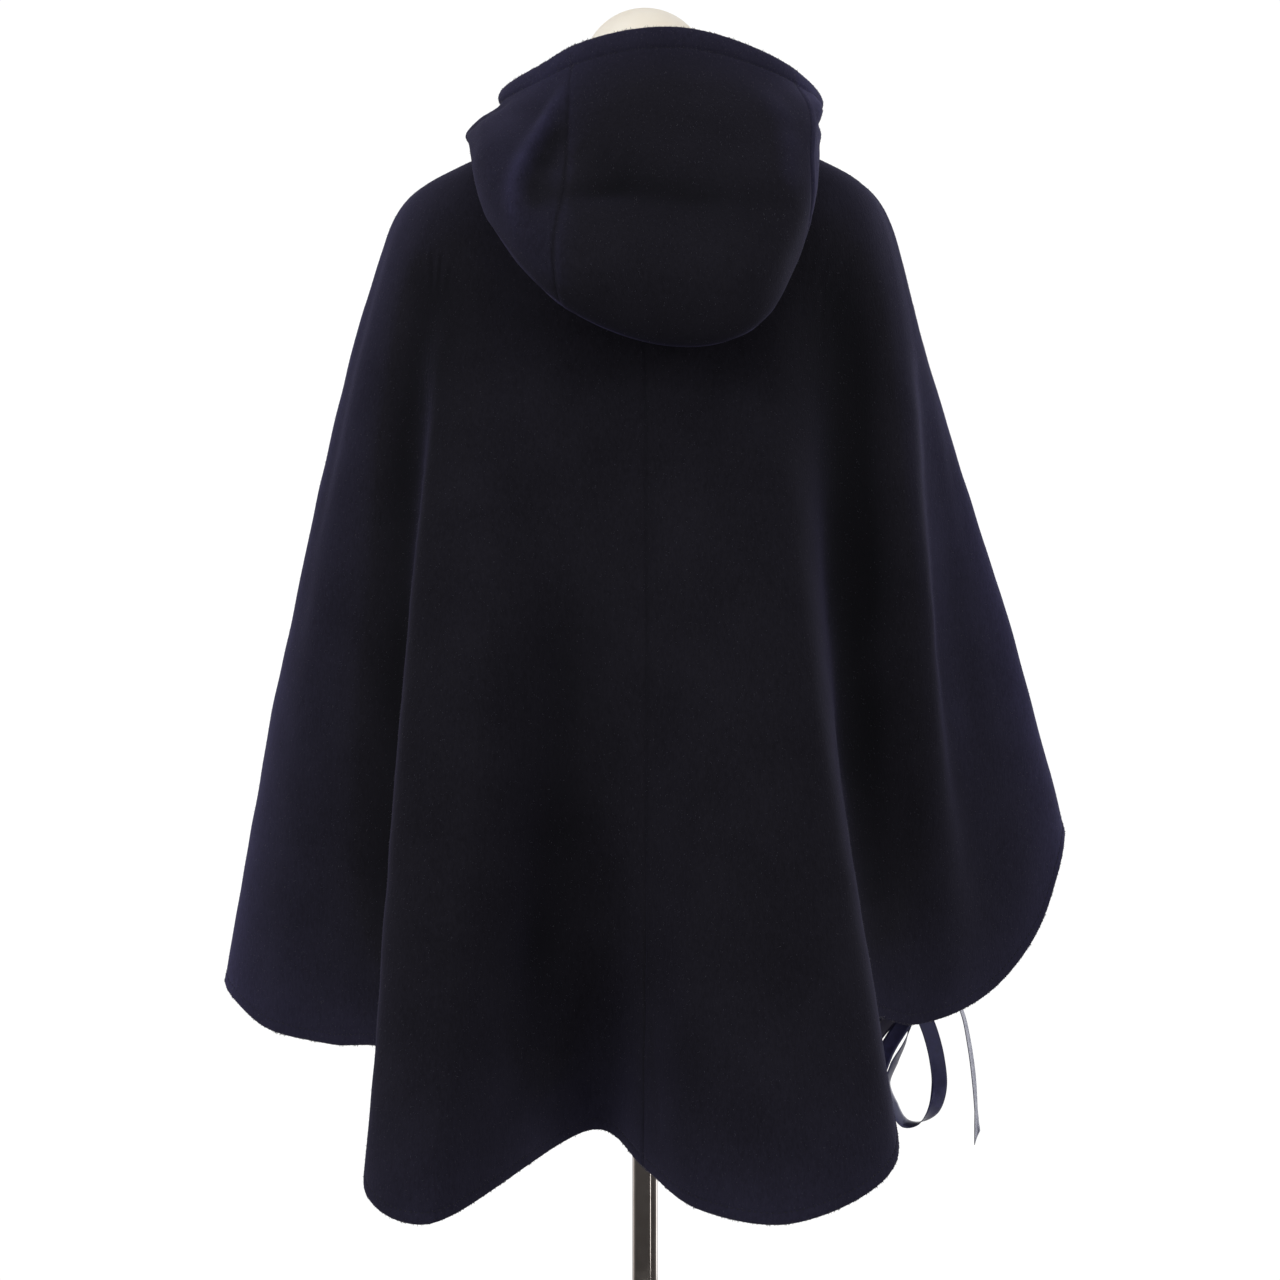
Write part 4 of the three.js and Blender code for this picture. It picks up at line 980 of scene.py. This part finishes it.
def drilledButton():
    deselectAll()
    bpy.ops.mesh.primitive_cylinder_add(vertices=48, radius=button["radius"] * mm,
                                        depth=button["height"] * mm,
                                        location=(0, 0, button["height"] / 2 * mm))
    obj = bpy.context.object
    bpy.ops.object.mode_set(mode="EDIT")
    bpy.ops.mesh.select_all(action="DESELECT")
    bpy.ops.object.mode_set(mode="OBJECT")
    top = button["height"] * mm - 1e-5
    for f in obj.data.polygons:
        f.select = f.normal.z > 0.9 and f.center.z > top
    bpy.ops.object.mode_set(mode="EDIT")
    bpy.ops.mesh.inset(thickness=button["rim"] * mm)
    bpy.ops.mesh.inset(thickness=1.2 * mm, depth=-button["dish"] * mm)
    bpy.ops.object.mode_set(mode="OBJECT")
    bevel = obj.modifiers.new("edges", "BEVEL")
    bevel.width, bevel.segments, bevel.limit_method = 0.6 * mm, 3, "ANGLE"
    bpy.ops.object.modifier_apply(modifier="edges")
    drills = []
    for x in (-1, 1):
        for y in (-1, 1):
            deselectAll()
            bpy.ops.mesh.primitive_cylinder_add(
                vertices=14, radius=button["hole"] * mm, depth=0.02,
                location=(x * button["holeSpread"] * mm, y * button["holeSpread"] * mm, 0))
            drills.append(bpy.context.object)
    for drill in drills:
        makeActive(obj)
        cut = obj.modifiers.new("hole", "BOOLEAN")
        cut.operation, cut.object, cut.solver = "DIFFERENCE", drill, "EXACT"
        bpy.ops.object.modifier_apply(modifier="hole")
        bpy.data.objects.remove(drill)
    makeActive(obj)
    bpy.ops.object.shade_smooth_by_angle(angle=math.radians(35))
    return obj


def buttonThread():
    # Two crossed stitches of thread over the dish, through the holes
    curve = bpy.data.curves.new("threadRun", "CURVE")
    curve.dimensions, curve.bevel_depth, curve.bevel_resolution = "3D", 0.45 * mm, 1
    low, high, reach = 0.4, button["height"] - button["dish"] + 0.5, button["holeSpread"]
    for way in (1, -1):
        spline = curve.splines.new("POLY")
        points = [(-reach, low), (-reach, high - 0.35), (-reach * 0.6, high), (reach * 0.6, high),
                  (reach, high - 0.35), (reach, low)]
        spline.points.add(len(points) - 1)
        for p, (r, z) in zip(spline.points, points):
            p.co = (r * mm, r * way * mm, (z + 0.25 * (way > 0)) * mm, 1)
    holder = bpy.data.objects.new("threadRun", curve)
    bpy.context.scene.collection.objects.link(holder)
    makeActive(holder)
    bpy.ops.object.convert(target="MESH")
    return bpy.context.object


buttonBase, threadBase = drilledButton(), buttonThread()
centreOver = lineNumber["centreOver"]
for k in range(button["count"]):
    z = button["top"] - k * button["pitch"]
    us = np.array([float(centreOver)])
    v = turningPoints(1, capeLast, 1, lambda at: capeSurface(us, at)[:, 2] > z)
    seat = capeSurface(us, v)[0]
    normal = surfaceNormal(capeSurface, us, v, -1, len(drapeLines) - 1, capeLast)[0]
    turn = Vector((0, 0, 1)).rotation_difference(Vector(normal)).to_matrix().to_4x4()
    for base, name, slotName, material in ((buttonBase, "button", "horn", "horn"),
                                           (threadBase, "buttonThread", "wool", "thread")):
        copy = bpy.data.objects.new(f"{name}{k + 1}", base.data.copy())
        bpy.context.scene.collection.objects.link(copy)
        copy.data.transform(turn)
        place = Vector(seat + normal * button["seat"]) * mm
        for vertex in copy.data.vertices:
            vertex.co += place
        copy.data.materials.clear()
        copy.data.materials.append(materials[material])
        finishPiece(copy, slotName, *([f"button_{k + 1}"] if name == "button" else []))
for base in (buttonBase, threadBase):
    bpy.data.objects.remove(base)
print("buttons on")


# Dress form: the frame's torso and cap, merged and smoothed
def smoothCopy(node, name, material, levels, creaseAngle):
    obj = frame["nodes"][node].copy()
    obj.data = frame["nodes"][node].data.copy()
    obj.name = name
    obj.parent = None
    for key in [k for k in obj.keys() if k.startswith("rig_")]:
        del obj[key]
    bpy.context.scene.collection.objects.link(obj)
    makeActive(obj)
    bpy.ops.object.mode_set(mode="EDIT")
    bpy.ops.mesh.select_all(action="SELECT")
    bpy.ops.mesh.remove_doubles(threshold=2e-5)
    bpy.ops.mesh.tris_convert_to_quads(face_threshold=math.radians(35), shape_threshold=math.radians(80))
    bpy.ops.mesh.select_all(action="DESELECT")
    bpy.ops.mesh.select_mode(type="EDGE")
    bpy.ops.mesh.edges_select_sharp(sharpness=creaseAngle)
    bpy.ops.transform.edge_crease(value=1)
    bpy.ops.mesh.select_all(action="DESELECT")
    bpy.ops.object.mode_set(mode="OBJECT")
    finer = obj.modifiers.new("finer", "SUBSURF")
    finer.levels = finer.render_levels = levels
    bpy.ops.object.modifier_apply(modifier="finer")
    obj.data.materials.clear()
    obj.data.materials.append(material)
    bpy.ops.object.shade_smooth_by_angle(angle=math.radians(40))
    return obj


for node, name in (("form_torso", "formTorso"), ("form_neck_cap", "formNeckCap")):
    finishPiece(smoothCopy(node, name, materials["cream"], 2, math.radians(50)), "cream", node)

# Stand: radius and height of each step up the turned outline, in millimetres, with the node that it
# replaces and how high it starts
stand = {"sides": 96}
standProfiles = {
    "poleFlange": ("pole_flange", 737.7, [(15, 0), (17.2, 0.6), (18, 2.4), (18, 12.5), (19.5, 15),
                                          (24, 16.4), (42.5, 17), (44, 18.2), (44, 21), (43, 22)]),
    "chromePole": ("pole", 16.3, [(10, 0), (10.5, 0.5), (10.5, 720.6), (10, 721.1)]),
    "baseHub": ("base_hub", 16.3, [(10.8, 0), (23.4, 0), (24, 0.8), (24, 5), (22.6, 7.6), (18.4, 11),
                                   (16.4, 15), (15.4, 28.6), (14.6, 30), (10.8, 30), (10.8, 0)]),
    "basePlate": ("base_plate", 0, [(162, 0), (164.4, 0.8), (165, 2.6), (165, 6), (164, 7.6), (159, 10),
                                    (120, 12.6), (60, 16)]),
}


def capRing(obj, height):
    # Closes the ring of points at a height with one face
    bpy.ops.mesh.select_all(action="DESELECT")
    bpy.ops.object.mode_set(mode="OBJECT")
    for v in obj.data.vertices:
        v.select = abs(v.co.z - height) < 1e-6
    bpy.ops.object.mode_set(mode="EDIT")
    bpy.ops.mesh.edge_face_add()


def turnedPiece(name, profile, lift):
    # A ring is extruded up the outline step by step and resized at each, then both ends are closed
    deselectAll()
    radius, height = profile[0]
    bpy.ops.mesh.primitive_circle_add(vertices=stand["sides"], radius=radius * mm, fill_type="NOTHING",
                                      location=(0, 0, (height + lift) * mm))
    obj = bpy.context.object
    obj.name = name
    bpy.ops.object.transform_apply(location=True, rotation=True, scale=True)
    bpy.ops.object.mode_set(mode="EDIT")
    bpy.ops.mesh.select_all(action="SELECT")
    for nextRadius, nextHeight in profile[1:]:
        step = (0, 0, (nextHeight - height) * mm)
        bpy.ops.mesh.extrude_region_move(TRANSFORM_OT_translate={"value": step})
        share = nextRadius / radius
        bpy.ops.transform.resize(value=(share, share, 1), center_override=(0, 0, 0))
        radius, height = nextRadius, nextHeight
    if profile[0] != profile[-1]:
        for end in (profile[0][1], profile[-1][1]):
            capRing(obj, (end + lift) * mm)
    bpy.ops.mesh.select_all(action="SELECT")
    bpy.ops.mesh.remove_doubles(threshold=2e-5)
    bpy.ops.mesh.normals_make_consistent(inside=False)
    bpy.ops.object.mode_set(mode="OBJECT")
    obj.data.materials.append(materials["chrome"])
    bpy.ops.object.shade_smooth_by_angle(angle=math.radians(32))
    return obj


for name, (node, lift, profile) in standProfiles.items():
    finishPiece(turnedPiece(name, profile, lift), "chrome", node)
print("form and stand made")

# Floor, light and camera
deselectAll()
bpy.ops.mesh.primitive_circle_add(vertices=96, radius=2.3, fill_type="NGON", location=(0, 0, -0.001))
floor = bpy.context.object
floor.name = "studioFloor"
floor.data.materials.append(materials["paper"])

world = bpy.data.worlds.new("softWhiteStudio")
bpy.context.scene.world = world
world.use_nodes = True
tree = world.node_tree
tree.nodes.clear()
# The paper backdrop behind the object is bright, and the room on the camera's side is dim
studio = {"backdrop": 0.9, "room": 0.16, "roomTo": 0.0, "backdropFrom": -0.9, "below": 0.2}
heading = addNode(tree, "ShaderNodeSeparateXYZ", {}, {
    "Vector": addNode(tree, "ShaderNodeTexCoord", {}).outputs["Generated"]})
glow = addNode(tree, "ShaderNodeMapRange", {
    "interpolation_type": "SMOOTHSTEP", "From Min": studio["roomTo"], "From Max": studio["backdropFrom"],
    "To Min": studio["room"], "To Max": studio["backdrop"]}, {"Value": heading.outputs["Y"]})
low = addNode(tree, "ShaderNodeMapRange", {
    "interpolation_type": "SMOOTHSTEP", "From Min": -0.35, "From Max": 0.05, "To Min": studio["below"],
    "To Max": 1.0}, {"Value": heading.outputs["Z"]})
glow = addNode(tree, "ShaderNodeMath", {"operation": "MULTIPLY"},
               {0: glow.outputs[0], 1: low.outputs[0]})
seen = addNode(tree, "ShaderNodeBackground", {"Color": (1, 1, 1, 1), "Strength": 1.05})
lit = addNode(tree, "ShaderNodeBackground", {"Color": (1.0, 0.985, 0.99, 1)},
              {"Strength": glow.outputs[0]})
path = addNode(tree, "ShaderNodeLightPath", {})
both = addNode(tree, "ShaderNodeMixShader", {},
               {0: path.outputs["Is Camera Ray"], 1: lit.outputs[0], 2: seen.outputs[0]})
addNode(tree, "ShaderNodeOutputWorld", {}, {"Surface": both.outputs[0]})

softLights = [
    dict(name="overheadSoftbox", at=(0.2, 1.5, 3.0), size=(3.0, 2.0), power=20, colour=(1, 1, 1)),
    dict(name="leftSoftbox", at=(1.77, 1.77, 1.75), size=(1.4, 1.8), power=30, colour=(1, 1, 1)),
    dict(name="rightSoftbox", at=(-1.77, 1.77, 1.75), size=(1.4, 1.8), power=18, colour=(1, 1, 1)),
    dict(name="leftSideBox", at=(2.3, -0.6, 1.6), size=(1.0, 2.0), power=4, colour=(0.97, 0.97, 1)),
    dict(name="rightSideBox", at=(-2.3, -0.6, 1.6), size=(1.0, 2.0), power=9, colour=(0.97, 0.97, 1)),
    dict(name="rightStrip", at=(-2.07, 1.67, 1.15), size=(0.16, 2.3), power=4, colour=(1, 1, 1)),
    dict(name="rearRightBox", at=(-1.77, -1.77, 1.15), size=(0.8, 2.3), power=12, colour=(0.95, 0.97, 1)),
    dict(name="rearLeftBox", at=(1.97, -1.54, 1.15), size=(0.4, 2.3), power=2.5, colour=(1, 0.98, 0.96)),
]
for light in softLights:
    data = bpy.data.lights.new(light["name"], "AREA")
    data.shape, data.energy = "RECTANGLE", light["power"]
    data.size, data.size_y = light["size"]
    data.color = light["colour"]
    lamp = bpy.data.objects.new(light["name"], data)
    lamp.location = light["at"]
    lamp.visible_camera = False
    lamp.rotation_euler = (Vector((0, 0, 1.05)) - lamp.location).to_track_quat("-Z", "Y").to_euler()
    bpy.context.scene.collection.objects.link(lamp)

view = {"at": (0.00415, 2.8, 1.020), "focalPixels": 3373, "imagePixels": 1280, "sensor": 36}
cameraData = bpy.data.cameras.new("photoCamera")
cameraData.sensor_width = view["sensor"]
cameraData.lens = view["focalPixels"] / view["imagePixels"] * view["sensor"]
camera = bpy.data.objects.new("photoCamera", cameraData)
camera.location = view["at"]
camera.rotation_euler = (math.radians(90), 0, math.radians(180))
bpy.context.scene.collection.objects.link(camera)
bpy.context.scene.camera = camera
bpy.context.scene.view_settings.view_transform = "Standard"
